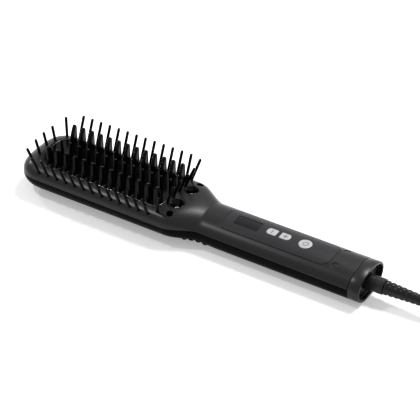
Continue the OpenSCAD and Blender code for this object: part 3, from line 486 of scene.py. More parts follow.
# Lead: from the strain relief through one bend to the coil, level over its first and last stretch
LEAD_TURN, LEAD_R, LEAD_LEVEL = -90 - COIL_FROM, 30.0, 2.6
half_turn = math.tan(math.radians(LEAD_TURN / 2))
bend_x = coil[0].x + coil[0].y / math.tan(math.radians(LEAD_TURN)) - LEAD_R * half_turn
lead_a = bend_x - RELIEF_END
lead_l = lead_a + LEAD_R * math.radians(LEAD_TURN) + abs(coil[0].y) / math.sin(math.radians(LEAD_TURN)) \
    - LEAD_R * half_turn - CORD_D


def lead_z(s):
    return mix(CORD_Z, COIL_Z, ease((s - LEAD_LEVEL) / (lead_l - 2 * LEAD_LEVEL)))


lead = run_bend(RELIEF_END, 0, lead_z, lead_a, LEAD_R, -LEAD_TURN, lead_l, 30)

# Tail: off the coil, down to the surface and round to the plug
TAIL_R, TAIL_DROP, TAIL_FLOOR, TAIL_LEVEL, FLOOR_Z = 27.0, 9.5, 40.0, 2.0, CORD_D / 2 + 0.1
tail_a = PLUG[0] - TAIL_R - COIL_CENTRE[0]
tail_l = tail_a + TAIL_R * math.pi / 2 + PLUG[1] - coil[-1].y - TAIL_R


def tail_z(s):
    if s < TAIL_FLOOR:
        return mix(COIL_Z + COIL_PITCH, FLOOR_Z, ease((s - TAIL_DROP) / (TAIL_FLOOR - TAIL_DROP)))
    return mix(FLOOR_Z, PLUG[2], ease((s - TAIL_FLOOR) / (tail_l - TAIL_LEVEL - TAIL_FLOOR)))


tail = run_bend(COIL_CENTRE[0], coil[-1].y, tail_z, tail_a, TAIL_R, 90, tail_l, 36, skip=1.0)
cord_run = lead + coil + tail
cord_curve = bpy.data.curves.new("mains_cord", "CURVE")
cord_curve.dimensions = "3D"
cord_curve.bevel_depth = CORD_D / 2 * MM
cord_curve.bevel_resolution = 5
cord_curve.use_fill_caps = True
spline = cord_curve.splines.new("POLY")
spline.points.add(len(cord_run) - 1)
for spot, p in zip(spline.points, cord_run):
    spot.co = (*place(p), 1)
spline.use_smooth = True
mains_cord = add_object("mains_cord", cord_curve)

# Tie round the bundle, with round corners
TIE_T, TIE_HALF_W = 0.65, 5.8
tie_turn = math.radians(60)
half = (COIL_OUT_R - COIL_IN_R) / 2 + COIL_PITCH / 2 + 2.6
low, high = COIL_Z - 3.15, COIL_Z + COIL_PITCH + 3.3


def tie_loop(grow, along):
    """One loop round the bundle, grown outwards, at a distance along the cord from the tie's middle."""
    loop = round_plate(-half - grow, half + grow, high - low + 2 * grow, 3 + grow, 3 + grow)
    return [(COIL_CENTRE[0] + (COIL_MEAN_R + u) * math.cos(tie_turn) - along * math.sin(tie_turn),
             COIL_CENTRE[1] + (COIL_MEAN_R + u) * math.sin(tie_turn) + along * math.cos(tie_turn),
             (low + high) / 2 + v) for u, v in loop]


tie_section = ((0, -TIE_HALF_W), (TIE_T, -TIE_HALF_W), (TIE_T, TIE_HALF_W), (0, TIE_HALF_W))
cord_tie = loft("cord_tie_band", [tie_loop(g, a) for g, a in tie_section], closed_path=True)
dress(soften(cord_tie), woven_tie, "body", "black_plastic", "cord_tie")

# Plug: tapered boot, oblong body with finger grips, pins with insulated roots. Drawn along X and turned to Y.
PLUG_BOOT_L, PLUG_BODY_L, PLUG_PIN_Y = 18, 32, 9.5
PLUG_HALF_W, PLUG_T = 14.9, 11.8


def beside_coil(obj):
    """Turns a piece drawn along X from the origin a quarter and puts it at the plug's place."""
    obj.data.transform(Matrix.Translation(place(PLUG)) @ Matrix.Rotation(math.pi / 2, 4, "Z")
                       @ Matrix.Translation(-place((0, 0, 0))))
    return obj


boot = [(0, 0), (0, 3.5), (0.4, 3.6)]
for i in range(5):
    start, r = 1.0 + 3.1 * i, 3.7 + 0.2 * i
    boot += [(start, r), (start + 1.9, r + 0.1), (start + 2.2, r - 0.5), (start + 2.9, r - 0.5)]
boot += [(17.0, 4.7), (18.0, 4.7), (18.0, 0)]
plug_boot = beside_coil(soften(lathe("plug_boot_ribbed", boot, (0, 0, 0), steps=40), smooth=50))
dress(plug_boot, soft_pvc, "body", "cord_rubber", "plug_boot")


def plug_ring(x, grow):
    """Outline of the plug's body at x from the boot, grown outwards."""
    outline = round_plate(-PLUG_HALF_W - grow, PLUG_HALF_W + grow, PLUG_T + 2 * grow, 5.8 + grow, 5.8 + grow)
    return [(PLUG_BOOT_L + x, u, v) for u, v in outline]


grips = [(0.1, -1.6), (1.2, -0.3), (2.4, 0)]
for i in range(5):
    grips += [(5 + 2.4 * i, 0), (5.7 + 2.4 * i, -0.55), (6.7 + 2.4 * i, -0.55)]
grips += [(17.4, 0), (30.9, 0), (31.7, -0.3), (32, -1.0)]
plug_body = beside_coil(soften(loft("plug_body_moulded", [plug_ring(x, g) for x, g in grips]), smooth=40))
dress(plug_body, soft_pvc, "body", "cord_rubber", "plug_body")
PLUG_PIN = [(8, 0), (8, 1.9), (17.6, 1.9), (18.9, 1.6), (19.7, 0.9), (20, 0)]
PLUG_PIN_ROOT = [(-7.9, 0), (-7.9, 2.0), (8.6, 2.0), (8.6, 0)]
pin_spots_on_plug = [(PLUG_BOOT_L + PLUG_BODY_L, side * PLUG_PIN_Y, 0) for side in (-1, 1)]
plug_pins = [lathe("plug_pin", PLUG_PIN, spot, steps=28) for spot in pin_spots_on_plug]
pin_roots = [lathe("pin_root", PLUG_PIN_ROOT, spot, steps=28) for spot in pin_spots_on_plug]
plug_tips = beside_coil(soften(joined("plug_pin_tips", plug_pins)))
plug_roots = beside_coil(soften(joined("plug_pin_roots", pin_roots)))
dress(plug_tips, nickel_pin, "body", "brass", "plug_pins")
dress(plug_roots, soft_pvc, "body", "cord_rubber")

mains_cord.data.materials.append(soft_pvc)
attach(mains_cord, "body")
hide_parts("cord_lead", "cord_coil", "cord_tail")


# ---------------------------------------------------------------- the shells

PLATE_START = 15.5
ROW_START, ROW_PITCH, ROWS = 26.8, 8.1, 13
PLATE_END = ROW_START + (ROWS - 1) * ROW_PITCH + 1.85
PLATE_W = 39.0
RIM_W = 1.3
SEAM_GAP = 0.22
PANEL_START, PANEL_END, PANEL_W, PANEL_T, PANEL_GAP, PANEL_LEDGE = 172.5, 261.0, 24.0, 1.6, 0.45, 1.6
OUTLETS = [(136.0, side * 9.8) for side in (-1, 1)]
OUTLET_HOLE_R = 5.6
NECK_SCREWS = [(136.5, side * 20.7) for side in (-1, 1)]
HANDLE_SCREWS = [(265.8, side * 9.2) for side in (-1, 1)]
WELLS = NECK_SCREWS + HANDLE_SCREWS
WELL_R = 2.65
FILLER_X = 214


def comb_outline(grow):
    """Outline of the comb plate, grown outwards."""
    return round_plate(PLATE_START - grow, PLATE_END + grow, PLATE_W + 2 * grow, 12 + grow, 6 + grow)


def panel_outline(grow):
    """Outline of the control panel, grown outwards."""
    return round_plate(PANEL_START - grow, PANEL_END + grow, PANEL_W + 2 * grow, 5 + grow, 7 + grow)


PIN_START, PIN_Y, PINS_IN_ROW = 23.8, 26.3, 13
PIN_LEAN, PIN_L, PIN_R, PIN_ROOT = 23.0, 18.8, 1.15, 7.4
NOSE_PIN_LEAN, NOSE_PIN_L, NOSE_PIN_GAP = 12.0, 12.6, 10


def pin_spots():
    """Foot of each outer pin, the heading that it leans to, its lean in degrees and its length."""
    end_x, nose_x = PLATE_END + RIM_W + 2, PLATE_START - RIM_W - 1.6
    corner_lean, corner_l = (PIN_LEAN + NOSE_PIN_LEAN) / 2, (PIN_L + NOSE_PIN_L) / 2
    spots = [(PIN_START + i * ROW_PITCH, s * PIN_Y, s * 90, PIN_LEAN, PIN_L)
             for i in range(PINS_IN_ROW) for s in (-1, 1)]
    spots += [(end_x, k * ROW_PITCH, k * 10, PIN_LEAN, PIN_L) for k in (-1.5, -0.5, 0.5, 1.5)]
    spots += [(end_x - 1.6, s * 23, s * 52, PIN_LEAN, PIN_L) for s in (-1, 1)]
    spots += [(nose_x + 0.3 * k * k, k * NOSE_PIN_GAP, 180 - k * 15, NOSE_PIN_LEAN, NOSE_PIN_L)
              for k in (-1, 0, 1)]
    spots += [(nose_x + 3.4, s * 21.2, s * 128, corner_lean, corner_l) for s in (-1, 1)]
    return spots


def lean_of(heading, lean):
    """Direction of a pin that leans from upright towards a heading, both in degrees."""
    a, tilt = math.radians(heading), math.radians(lean)
    return Vector((math.sin(tilt) * math.cos(a), math.sin(tilt) * math.sin(a), math.cos(tilt)))


def half_space(name, above, gap):
    """Everything above or below the seam between the shells."""
    x0, x1, far = -20.0, 320.0, 90.0
    z0, z1 = seam_z(x0) + gap, seam_z(x1) + gap
    end = far if above else -far
    rings = [[(x0, -60, z0), (x0, 60, z0), (x0, 60, end), (x0, -60, end)],
             [(x1, -60, z1), (x1, 60, z1), (x1, 60, end), (x1, -60, end)]]
    return loft(name, rings)


def tilted_rod(name, foot, along, r, before, after, steps=16):
    """A rod of radius r through foot, reaching before and after it along a direction."""
    across = along.cross(Vector((0, 1, 0))).normalized()
    other = along.cross(across)
    rings = []
    for t in (-before, after):
        rings.append([tuple(foot + along * t + r * (math.cos(2 * math.pi * i / steps) * across
                                                    + math.sin(2 * math.pi * i / steps) * other))
                      for i in range(steps)])
    return loft(name, rings)


def top_shell():
    """The upper shell with its openings, and the screw towers that stand in it."""
    shell = body_form("top_shell", 0, 0, CAP_START)
    carve(shell, [body_form("cutter", WALL, 0, BODY_L, 64)])
    carve(shell, [half_space("cutter", True, SEAM_GAP)], "INTERSECT")
    carve(shell, [prism("cutter", comb_outline(RIM_W + 0.15), 12.7, 60)])
    recess = prism("cutter", panel_outline(PANEL_GAP), 18, 60)
    carve(recess, [handle_bar("cutter", PANEL_T, PANEL_START - 1, PANEL_END + 1)])
    carve(shell, [recess, prism("cutter", panel_outline(-PANEL_LEDGE), 14, 60)])
    carve(shell, [prism("cutter", circle(x, y, WELL_R), 14, 60) for x, y in WELLS])
    carve(shell, [prism("cutter", circle(x, y, OUTLET_HOLE_R), 20, 60) for x, y in OUTLETS])
    rods = []
    for x, y, heading, tilt, _ in pin_spots():
        rods.append(tilted_rod("rod", Vector((x, y, face_z(x, y))), lean_of(heading, tilt), 1.2, 6, 4))
    carve(shell, [joined("cutter", rods)])
    towers = []
    for x, y in WELLS:
        top = face_z(x, abs(y) + 4.05) - 0.7
        wall = [(13.0, 4.05), (top, 4.05), (top, 2.66), (14.6, 2.66), (14.6, 1.45), (13, 1.45)]
        towers.append(lathe("tower", wall, (x, y, 0), axis="Z", steps=32))
    return soften(joined("top_shell", [shell] + towers), smooth=28)


top = top_shell()
dress(top, abs_charcoal, "body", "housing_plastic", "top_housing")

TRIGGER_START, TRIGGER_END, TRIGGER_W, TRIGGER_TAPER = 144.0, 166.0, 38.0, 2.2
TRIGGER_MID, RIB_GAP, RIB_HALF = 155, 5.4, 1.7


def trigger_plan(grow):
    """Outline of the trigger from below, grown outwards."""
    x0, x1 = TRIGGER_START - grow, TRIGGER_END + grow
    w0, w1 = TRIGGER_W / 2 + grow, TRIGGER_W / 2 - TRIGGER_TAPER + grow
    return [(x0, -w0), (x1, -w1), (x1, w1), (x0, w0)]


bottom = body_form("bottom_shell", 0, 0, CAP_START)
carve(bottom, [body_form("cutter", WALL, 0, BODY_L, 64)])
carve(bottom, [half_space("cutter", False, -SEAM_GAP)], "INTERSECT")
carve(bottom, [prism("cutter", trigger_plan(0.3), -2, 12), prism("cutter", circle(FILLER_X, 0, 5.2), -1, 4)])
dress(soften(bottom, smooth=28), abs_black, "body", "black_plastic", "bottom_housing")

# Ribbed trigger under the neck
rib_rings = [(TRIGGER_START - 1, 0.0)]
for i in (-1.5, -0.5, 0.5, 1.5):
    for k in range(9):
        offset = -RIB_HALF + 2 * RIB_HALF * k / 8
        rib_rings.append((TRIGGER_MID + i * RIB_GAP + offset, math.cos(offset / RIB_HALF * math.pi / 2)))
rib_rings.append((TRIGGER_END + 1, 0.0))


def lower_half(x, inset, count=120):
    """The half of a ring that lies below the body's middle."""
    points = ring(x, inset, count)
    return [points[i % count] for i in range(count // 2, count + 1)]


trigger = loft("steam_trigger_ribbed", [lower_half(x, -h) for x, h in rib_rings])
inner_xs = [TRIGGER_START - 2 + 2 * i for i in range(14)]
carve(trigger, [prism("cutter", trigger_plan(0), 0.4, 12)], "INTERSECT")
carve(trigger, [loft("cutter", [lower_half(x, 1.8) for x in inner_xs])])
dress(soften(trigger, smooth=40), abs_black, "trigger", "black_plastic", "steam_trigger")

# Filler plug in the underside
filler_profile = [(0.45, 0), (0.45, 2.9), (1.4, 3.1), (1.4, 3.3), (0.4, 3.6), (0.4, 4.7), (0.7, 5.0),
                  (2.0, 5.0), (2.1, 4.0), (4.6, 4.0), (4.7, 3.8), (4.7, 0)]
filler = lathe("filler_plug_cap", filler_profile, (FILLER_X, 0, 0), axis="Z")
dress(soften(filler, smooth=40), soft_pvc, "filler", "black_plastic", "filler_plug")

# End cap with softened edges
cap_profile = [(281.15, 2.5), (281.15, 0.6), (281.35, 0.15), (281.7, 0.0), (289.2, 0.0), (289.75, 0.2),
               (290.0, 0.65), (290.0, 1.6), (289.8, 1.9), (289.4, 2.0), (287.0, 2.0), (287.0, 2.5)]
cap = handle_band("end_cap_ring", cap_profile)
dress(soften(cap, smooth=40), abs_charcoal, "body", "housing_plastic", "end_cap")

# Plugs over the handle's screws, with a groove round each
covers = []
for x, y in HANDLE_SCREWS:
    cover = prism("cover", circle(x, y, 2.5), 18, 40)
    covers.append(carve(cover, [handle_bar("cutter", 0.35, 262, 270)], "INTERSECT"))
screw_covers = soften(joined("screw_covers", covers), smooth=40)
dress(screw_covers, abs_charcoal, "body", "black_plastic", "screw_plugs")

# Steam outlets: conical cups let into the shell
CUP_SINK = 0.1
CUP_PROFILE = [(0.3, 5.45), (0.05, 5.2), (0.0, 4.9), (0.4, 4.5), (3.0, 2.9), (5.2, 1.9), (5.4, 1.2),
               (6.8, 1.2), (6.8, 1.9), (6.0, 4.0), (4.0, 5.45)]
cups = []
for x, y in OUTLETS:
    rings = []
    for depth, r in CUP_PROFILE:
        rings.append([(px, py, face_z(px, py) - CUP_SINK - depth) for px, py in circle(x, y, r, 48)])
    cups.append(loft("cup", rings, closed_path=True))
outlet_cups = soften(joined("steam_outlet_cups", cups), smooth=50)
dress(outlet_cups, comb_nylon, "body", "black_plastic", "steam_nozzles")


# ---------------------------------------------------------------- control panel and keys

MINUS_X, PLUS_X, POWER_X = 210.1, 221.0, 237.2
KEY_L, KEY_W, POWER_R, KEY_GAP, KEY_PROUD = 8.0, 6.8, 5.0, 0.25, 0.4
WINDOW_START, WINDOW_END, WINDOW_W = 180.4, 200.2, 10.6


def key_outline(left_round, grow):
    """Outline of an oblong key about its middle, with its rounder corners left or right."""
    ra, rb = (2.6, 0.8) if left_round else (0.8, 2.6)
    return round_plate(-KEY_L / 2 - grow, KEY_L / 2 + grow, KEY_W + 2 * grow, ra + grow, rb + grow)


def shifted(outline, dx):
    return [(x + dx, y) for x, y in outline]


def window_outline(grow):
    return round_plate(WINDOW_START - grow, WINDOW_END + grow, WINDOW_W + 2 * grow, 0.8 + grow, 0.8 + grow)


panel = prism("control_panel_face", panel_outline(0), 14, 40)
carve(panel, [handle_bar("cutter", 0.0, PANEL_START - 2, PANEL_END + 2)], "INTERSECT")
carve(panel, [handle_bar("cutter", PANEL_T, PANEL_START - 3, PANEL_END + 3)])
window_cut = prism("cutter", window_outline(0.12), 14, 40)
carve(window_cut, [handle_bar("cutter", 0.95, 176, 206)])
carve(panel, [window_cut, prism("cutter", window_outline(-0.8), 14, 40)])
carve(panel, [prism("cutter", shifted(key_outline(True, KEY_GAP), MINUS_X), 14, 40),
              prism("cutter", shifted(key_outline(False, KEY_GAP), PLUS_X), 14, 40),
              prism("cutter", circle(POWER_X, 0, POWER_R + KEY_GAP), 14, 40)])
dress(soften(panel, smooth=28), panel_pc, "body", "panel_plastic", "control_panel")

window = prism("display_window_pane", window_outline(0), 14, 40)
carve(window, [handle_bar("cutter", 0.3, 176, 206)], "INTERSECT")
carve(window, [handle_bar("cutter", 0.9, 175, 207)])
dress(soften(window, smooth=28), smoked_acrylic, "body", "display_glass", "display_window")


def key_cap(name, outline, x, proud):
    """A key cap that follows the panel, with a rolled edge."""
    rings = []
    middle = (sum(p[0] for p in outline) / len(outline), 0.0)
    for z_drop, inset in ((3.0, 0.0), (0.35, 0.0), (0.12, 0.12), (0.0, 0.38), (0.03, 1.2), (0.06, 2.4)):
        turn = []
        for px, py in outline:
            d = Vector((px - middle[0], py - middle[1]))
            scale = max(0.05, (d.length - inset) / d.length)
            qx, qy = middle[0] + d.x * scale, middle[1] + d.y * scale
            turn.append((x + qx, qy, face_z(x, qy) + proud - z_drop))
        rings.append(turn)
    return soften(loft(name, rings), smooth=60)


def mark_strip(points, width, x, proud, z_lift=0.03):
    """A thin printed strip along points on a key, laid on its curved face."""
    rings = []
    for i, (px, py) in enumerate(points):
        a = points[max(0, i - 1)]
        b = points[min(len(points) - 1, i + 1)]
        d = Vector((b[0] - a[0], b[1] - a[1])).normalized() * width / 2
        left, right = (px - d.y, py + d.x), (px + d.y, py - d.x)
        z_left, z_right = face_z(x, left[1]) + proud, face_z(x, right[1]) + proud
        top_left, top_right = z_left + z_lift - 0.06, z_right + z_lift - 0.06
        rings.append([(x + left[0], left[1], z_left - 0.2), (x + right[0], right[1], z_right - 0.2),
                      (x + right[0], right[1], top_right), (x + left[0], left[1], top_left)])
    return loft("mark", rings)


minus_cap = key_cap("minus_key_cap", key_outline(True, 0), MINUS_X, KEY_PROUD)
plus_cap = key_cap("plus_key_cap", key_outline(False, 0), PLUS_X, KEY_PROUD)
power_cap = key_cap("power_key_cap", circle(0, 0, POWER_R, 64), POWER_X, KEY_PROUD)
dress(minus_cap, key_abs, "minus_key", "button_plastic", "minus_button")
dress(plus_cap, key_abs, "plus_key", "button_plastic", "plus_button")
dress(power_cap, key_abs, "power_key", "button_plastic", "power_button")

# Marks: a bar, a cross, and an open ring with a stem. The second strip of a mark lies a hair higher.
MARK_W, POWER_MARK_W, SECOND_LIFT = 0.95, 0.8, 0.035
bar = [(0, -1.8), (0, -0.6), (0, 0.6), (0, 1.8)]
cross = [(-1.8, 0), (-0.6, 0), (0.6, 0), (1.8, 0)]
arc = [(2.0 * math.cos(math.radians(a)), 2.0 * math.sin(math.radians(a))) for a in range(-140, 141, 14)]
stem = [(-2.6, 0), (-1.6, 0), (-0.7, 0)]
minus_mark = mark_strip(bar, MARK_W, MINUS_X, KEY_PROUD)
plus_mark = joined("plus_mark", [mark_strip(bar, MARK_W, PLUS_X, KEY_PROUD),
                                 mark_strip(cross, MARK_W, PLUS_X, KEY_PROUD, SECOND_LIFT)])
power_mark = joined("power_mark", [mark_strip(arc, POWER_MARK_W, POWER_X, KEY_PROUD),
                                   mark_strip(stem, POWER_MARK_W, POWER_X, KEY_PROUD, SECOND_LIFT)])
minus_mark.name = "minus_mark"
for mark, body in ((minus_mark, "minus_key"), (plus_mark, "plus_key"), (power_mark, "power_key")):
    dress(mark, key_mark, body, "button_plastic")


# ---------------------------------------------------------------- repeated pieces by geometry nodes

def new_tree(name, inputs):
    """A geometry tree with named inputs: {name: (socket type, default)}."""
    tree = bpy.data.node_groups.new(name, "GeometryNodeTree")
    tree.interface.new_socket("Geometry", in_out="INPUT", socket_type="NodeSocketGeometry")
    tree.interface.new_socket("Geometry", in_out="OUTPUT", socket_type="NodeSocketGeometry")
    for label, (kind, default) in inputs.items():
        socket = tree.interface.new_socket(label, in_out="INPUT", socket_type=kind)
        if default is not None:
            socket.default_value = default
    return tree, tree.nodes.new("NodeGroupInput"), tree.nodes.new("NodeGroupOutput")


def grow(name, seed, tree, values):
    """Runs a tree on a seed mesh and returns the result as a plain mesh."""
    obj = add_object(name, seed)
    modifier = obj.modifiers.new(name, "NODES")
    modifier.node_group = tree
    for item in tree.interface.items_tree:
        if item.item_type == "SOCKET" and item.in_out == "INPUT" and item.name in values:
            modifier[item.identifier] = values[item.name]
    return evaluated(obj)


def copies_on(tree, inputs, output, points, piece, *links):
    """Ends a tree with a real copy of its piece on each point, in the tree's finish."""
    info = node(tree, "GeometryNodeObjectInfo", [("Object", inputs.outputs[piece])])
    copies = node(tree, "GeometryNodeInstanceOnPoints",
                  [("Points", points), ("Instance", info.outputs["Geometry"]), *links])
    real = node(tree, "GeometryNodeRealizeInstances", [("Geometry", copies.outputs["Instances"])])
    painted = node(tree, "GeometryNodeSetMaterial",
                   [("Geometry", real.outputs["Geometry"]), ("Material", inputs.outputs["Finish"])])
    tree.links.new(painted.outputs["Geometry"], output.inputs["Geometry"])


# Rows along the comb: one piece repeated along X at the comb's pitch
row_tree, row_in, row_out = new_tree("comb_rows", {
    "Rows": ("NodeSocketInt", ROWS), "Pitch": ("NodeSocketFloat", ROW_PITCH * MM),
    "Piece": ("NodeSocketObject", None), "Finish": ("NodeSocketMaterial", None)})
step = node(row_tree, "ShaderNodeCombineXYZ", [("X", row_in.outputs["Pitch"])])
line = node(row_tree, "GeometryNodeMeshLine",
            [("Count", row_in.outputs["Rows"]), ("Offset", step.outputs["Vector"])])
copies_on(row_tree, row_in, row_out, line.outputs["Mesh"], "Piece")

BLADE_T, BLADE_L, BLADE_Y, BLADE_TOP, PLATE_Z = 2.5, 7.4, 15.1, 42.0, 25.8
TOOTH_TOP = 38.4


def blade_profile():
    """Outline of a blade across the comb, from its outer foot."""
    high, corner = BLADE_TOP - PLATE_Z, 2.2
    points = [(BLADE_L, -0.4), (0, -0.4)]
    points += [(corner + corner * math.cos(math.radians(a)),
                high - corner + corner * math.sin(math.radians(a)))
               for a in range(180, 89, -10)]
    points += [(corner + (BLADE_L - corner) * t / 12, high - 10 * (t / 12) ** 1.5) for t in range(1, 13)]
    return points


def blade_row():
    """The first row's two blades, drawn as mirror images."""
    blades = []
    for side in (-1, 1):
        rings = []
        for dx in (-BLADE_T / 2, BLADE_T / 2):
            rings.append([(ROW_START + dx, side * (BLADE_Y + BLADE_L / 2 - u), PLATE_Z + v)
                          for u, v in blade_profile()])
        blades.append(soften(loft("blade", rings), width=0.85, segments=4, limit=50, smooth=50))
    return joined("blade_row", blades)


row_piece = blade_row()
blades = grow("comb_blade_rows", bpy.data.meshes.new("row_seed"), row_tree,
              {"Rows": ROWS, "Pitch": ROW_PITCH * MM, "Piece": row_piece, "Finish": comb_nylon})
remove(row_piece)
dress(blades, comb_nylon, "body", "gloss_black", "comb_blades")

# Middle teeth: a tapered stem with a ball
BALL_R = 1.1
tooth = [(0, 0), (0, 1.6), (0.6, 1.55)]
tooth += [(0.6 + 9 * t / 6, 1.55 - 0.7 * t / 6) for t in range(1, 7)]
ball_z = TOOTH_TOP - PLATE_Z - BALL_R
tooth += [(ball_z + BALL_R * math.sin(math.radians(a)), BALL_R * math.cos(math.radians(a)))
          for a in range(-40, 90, 13)]
tooth += [(TOOTH_TOP - PLATE_Z, 0)]
tooth_piece = soften(lathe("tooth", tooth, (ROW_START, 0, PLATE_Z), axis="Z", steps=20), smooth=60)
teeth = grow("comb_tooth_rows", bpy.data.meshes.new("tooth_seed"), row_tree,
             {"Rows": ROWS, "Pitch": ROW_PITCH * MM, "Piece": tooth_piece, "Finish": comb_nylon})
remove(tooth_piece)
dress(teeth, comb_nylon, "body", "gloss_black", "comb_teeth")

# Outer pins: one pin planted on each foot, turned to its own lean
pin_tree, pin_in, pin_out = new_tree("planted_pins", {
    "Pin": ("NodeSocketObject", None), "Size": ("NodeSocketFloat", 1.0),
    "Finish": ("NodeSocketMaterial", None)})
lean = node(pin_tree, "GeometryNodeInputNamedAttribute", data_type="FLOAT_VECTOR")
lean.inputs["Name"].default_value = "lean"
turned = node(pin_tree, "FunctionNodeAlignRotationToVector",
              [("Vector", lean.outputs["Attribute"])], axis="Z")
copies_on(pin_tree, pin_in, pin_out, pin_in.outputs["Geometry"], "Pin",
          ("Rotation", turned.outputs["Rotation"]), ("Scale", pin_in.outputs["Size"]))


def pins_of(length):
    """All the pins of one length, planted on their feet."""
    spots = [spot for spot in pin_spots() if spot[4] == length]
    feet = bpy.data.meshes.new("pin_feet")
    feet.from_pydata([place((x, y, face_z(x, y))) for x, y, _, _, _ in spots], [], [])
    leans = feet.attributes.new("lean", "FLOAT_VECTOR", "POINT")
    for i, (_, _, heading, tilt, _) in enumerate(spots):
        leans.data[i].vector = lean_of(heading, tilt)
    profile = [(-PIN_ROOT, 0), (-PIN_ROOT, PIN_R - 0.1), (-0.2, PIN_R), (length - 2.4, PIN_R)]
    profile += [(length - PIN_R + PIN_R * math.sin(math.radians(a)), PIN_R * math.cos(math.radians(a)))
                for a in range(0, 90, 10)]
    profile += [(length, 0)]
    piece = soften(lathe("pin", profile, (HALF, 0, 0), axis="Z", steps=16), smooth=60)
    row = grow("outer_pin_rows", feet, pin_tree, {"Pin": piece, "Size": 1.0, "Finish": pin_nylon})
    remove(piece)
    return row


pins = joined("outer_pin_rows", [pins_of(length) for length in sorted({spot[4] for spot in pin_spots()})])
dress(pins, pin_nylon, "body", "black_plastic", "outer_pins")

# Ribs of the strain relief: rings that shrink towards the cord
RIBS, RIB_PITCH, LAST_RIB_SIZE = 7, 4.14, 0.76
rib_tree, rib_in, rib_out = new_tree("shrinking_ribs", {
    "Ribs": ("NodeSocketInt", RIBS), "Pitch": ("NodeSocketFloat", RIB_PITCH * MM),
    "Last Size": ("NodeSocketFloat", LAST_RIB_SIZE), "Start": ("NodeSocketVector", (0, 0, 0)),
    "Rib": ("NodeSocketObject", None), "Finish": ("NodeSocketMaterial", None)})
rib_step = node(rib_tree, "ShaderNodeCombineXYZ", [("X", rib_in.outputs["Pitch"])])
rib_line = node(rib_tree, "GeometryNodeMeshLine",
                [("Count", rib_in.outputs["Ribs"]), ("Offset", rib_step.outputs["Vector"]),
                 ("Start Location", rib_in.outputs["Start"])])
index = node(rib_tree, "GeometryNodeInputIndex")
last_rib = node(rib_tree, "ShaderNodeMath", [(0, rib_in.outputs["Ribs"])], operation="SUBTRACT")
last_rib.inputs[1].default_value = 1.0
share = node(rib_tree, "ShaderNodeMath", [(0, index.outputs["Index"]), (1, last_rib.outputs["Value"])],
             operation="DIVIDE")
size = node(rib_tree, "ShaderNodeMapRange",
            [("Value", share.outputs["Value"]), ("To Max", rib_in.outputs["Last Size"])])
size.inputs["To Min"].default_value = 1.0
rib_scale = node(rib_tree, "ShaderNodeCombineXYZ",
                 [("Y", size.outputs["Result"]), ("Z", size.outputs["Result"])])
rib_scale.inputs["X"].default_value = 1.0
copies_on(rib_tree, rib_in, rib_out, rib_line.outputs["Mesh"], "Rib", ("Scale", rib_scale.outputs["Vector"]))

rib_profile = [(0.0, 4.2), (0.0, 5.0), (0.25, 5.3), (0.7, 5.4), (1.9, 5.4), (2.35, 5.3), (2.6, 5.0),
               (2.6, 4.2)]
rib_piece = lathe("rib", rib_profile, (HALF, 0, 0), steps=48)
ribs = grow("strain_relief_ribs", bpy.data.meshes.new("rib_seed"), rib_tree,
            {"Ribs": RIBS, "Pitch": RIB_PITCH * MM, "Last Size": LAST_RIB_SIZE,
             "Start": place((RELIEF_START + 0.4, 0, CORD_Z)), "Rib": rib_piece, "Finish": soft_pvc})
remove(rib_piece)
core = lathe("core", [(0, 0), (0, 4.9), (0.4, 5.0), (28.5, 3.75), (34.4, 3.5), (35, 3.3), (35, 0)],
             (RELIEF_START, 0, CORD_Z), steps=48)
relief = soften(joined("ribbed_strain_relief", [ribs, core]), smooth=45)
dress(relief, soft_pvc, "swivel", "cord_rubber", "strain_relief")

# Sleeve between the end cap and the strain relief, with a groove turned in it
SLEEVE_START = 285
sleeve_profile = [(-1.5, 2.1), (-1.5, 6.25), (-0.3, 6.25), (-0.3, 5.95), (9.6, 5.95), (9.8, 5.6),
                  (10.6, 5.6), (10.8, 5.95), (15.4, 5.95), (15.9, 5.5), (16, 5.2), (16, 2.1)]
sleeve = lathe("swivel_sleeve_turned", sleeve_profile, (SLEEVE_START, 0, CORD_Z), steps=64)
dress(soften(sleeve, smooth=35), acetal_grey, "swivel", "sleeve_plastic", "swivel_sleeve")

# Chromed rim round the comb plate, with a rolled top
RIM_SECTION = ((0.1, 20.8), (0.1, 25.9), (0.35, 26.35), (0.7, 26.4), (1.05, 26.3), (RIM_W, 25.9),
               (RIM_W, 20.8))
rim_loops = [[(x, y, z) for x, y in comb_outline(out)] for out, z in RIM_SECTION]
rim = soften(loft("comb_rim_bright", rim_loops, closed_path=True), smooth=60)
dress(rim, chromed_trim, "body", "bright_trim", "comb_rim")


# ---------------------------------------------------------------- carried-over pieces

def carried(material, *names):
    """Gives the frame's own pieces a material and leaves their shapes alone."""
    for name in names:
        nodes[name].data.materials.clear()
        nodes[name].data.materials.append(material)


carried(comb_nylon, "comb_plate")
carried(pin_nylon, "pin_frame")
carried(plated_steel, "heating_elements", "heater_clamp", "clamp_screws", "thermal_fuse", "pump_plunger",
        "pump_spring", "board_screws", "housing_screws")
carried(mica_sheet, "insulating_sheet")
carried(ceramic_red, "thermistor")
carried(cast_aluminium, "steam_chamber")
carried(silicone_tube, "steam_tube", "water_tube")
carried(smoked_pc, "pump_body", "water_tank", "tank_lid")
carried(lcd_glass, "display_module")
carried(abs_black, "push_switches", "board_parts", "end_plate", "swivel_housing")
carried(solder_mask, "control_board")
carried(turned_brass, "slip_rings", "contact_springs")
carried(acetal_grey, "swivel_core")
carried(wire_red, "heater_wires")
carried(wire_brown, "supply_wires")


# ---------------------------------------------------------------- floor and light

def seen_directly(tree):
    """1 for rays from the camera, a mirror or a clear piece, and 0 for the rays that light the scene."""
    rays = node(tree, "ShaderNodeLightPath")
    seen = rays.outputs["Is Camera Ray"]
    for kind in ("Is Glossy Ray", "Is Transmission Ray"):
        either = node(tree, "ShaderNodeMath", [(0, seen), (1, rays.outputs[kind])], operation="MAXIMUM")
        seen = either.outputs["Value"]
    return seen


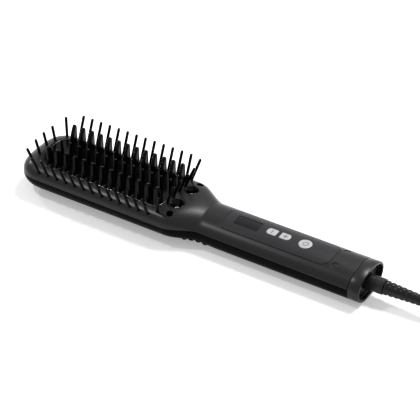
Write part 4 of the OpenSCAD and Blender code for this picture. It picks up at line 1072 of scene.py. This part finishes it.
FLOOR_HALF = 6
floor_mesh = bpy.data.meshes.new("floor")
floor_mesh.from_pydata([(FLOOR_HALF * i, FLOOR_HALF * j, 0) for i, j in ((-1, -1), (1, -1), (1, 1), (-1, 1))],
                       [], [(0, 1, 2, 3)])
floor = add_object("floor", floor_mesh)
paper = bpy.data.materials.new("white_paper_floor")
paper.use_nodes = True
paper_tree = paper.node_tree
paper_shader = paper_tree.nodes["Principled BSDF"]
paper_shader.inputs["Base Color"].default_value = (0.86, 0.86, 0.86, 1)
paper_shader.inputs["Roughness"].default_value = 0.9
paper_shader.inputs["Specular IOR Level"].default_value = 0.0
lift = node(paper_tree, "ShaderNodeMath", [(0, seen_directly(paper_tree))], operation="MULTIPLY")
lift.inputs[1].default_value = 0.3
paper_shader.inputs["Emission Color"].default_value = (1, 1, 1, 1)
paper_tree.links.new(lift.outputs["Value"], paper_shader.inputs["Emission Strength"])
floor.data.materials.append(paper)

world = bpy.data.worlds.new("studio")
bpy.context.scene.world = world
world.use_nodes = True
world_tree = world.node_tree
background = world_tree.nodes["Background"]
strength = node(world_tree, "ShaderNodeMapRange", [("Value", seen_directly(world_tree))])
strength.inputs["To Min"].default_value = 0.45
strength.inputs["To Max"].default_value = 1.0
background.inputs["Color"].default_value = (1, 1, 1, 1)
world_tree.links.new(strength.outputs["Result"], background.inputs["Strength"])


def softbox(name, direction, distance, width, depth, watts):
    """A rectangular lamp that faces the brush from a direction."""
    data = bpy.data.lights.new(name, "AREA")
    data.shape = "RECTANGLE"
    data.size, data.size_y = width, depth
    data.energy = watts
    lamp = bpy.data.objects.new(name, data)
    bpy.context.scene.collection.objects.link(lamp)
    spot = Vector(direction).normalized()
    lamp.location = spot * distance
    lamp.rotation_euler = spot.to_track_quat("Z", "Y").to_euler()


softbox("key_box", (-0.5, -0.2, 0.86), 1.0, 0.07, 0.07, 2.4)
softbox("edge_box", (-0.86, 0.2, 0.5), 1.0, 0.06, 0.06, 1.4)
softbox("back_box", (0.16, 0.45, 0.88), 1.1, 0.5, 0.25, 13.0)
softbox("side_box", (0.5, 0.75, 0.45), 1.2, 0.4, 0.3, 3.0)

bpy.context.scene.view_settings.view_transform = "Standard"
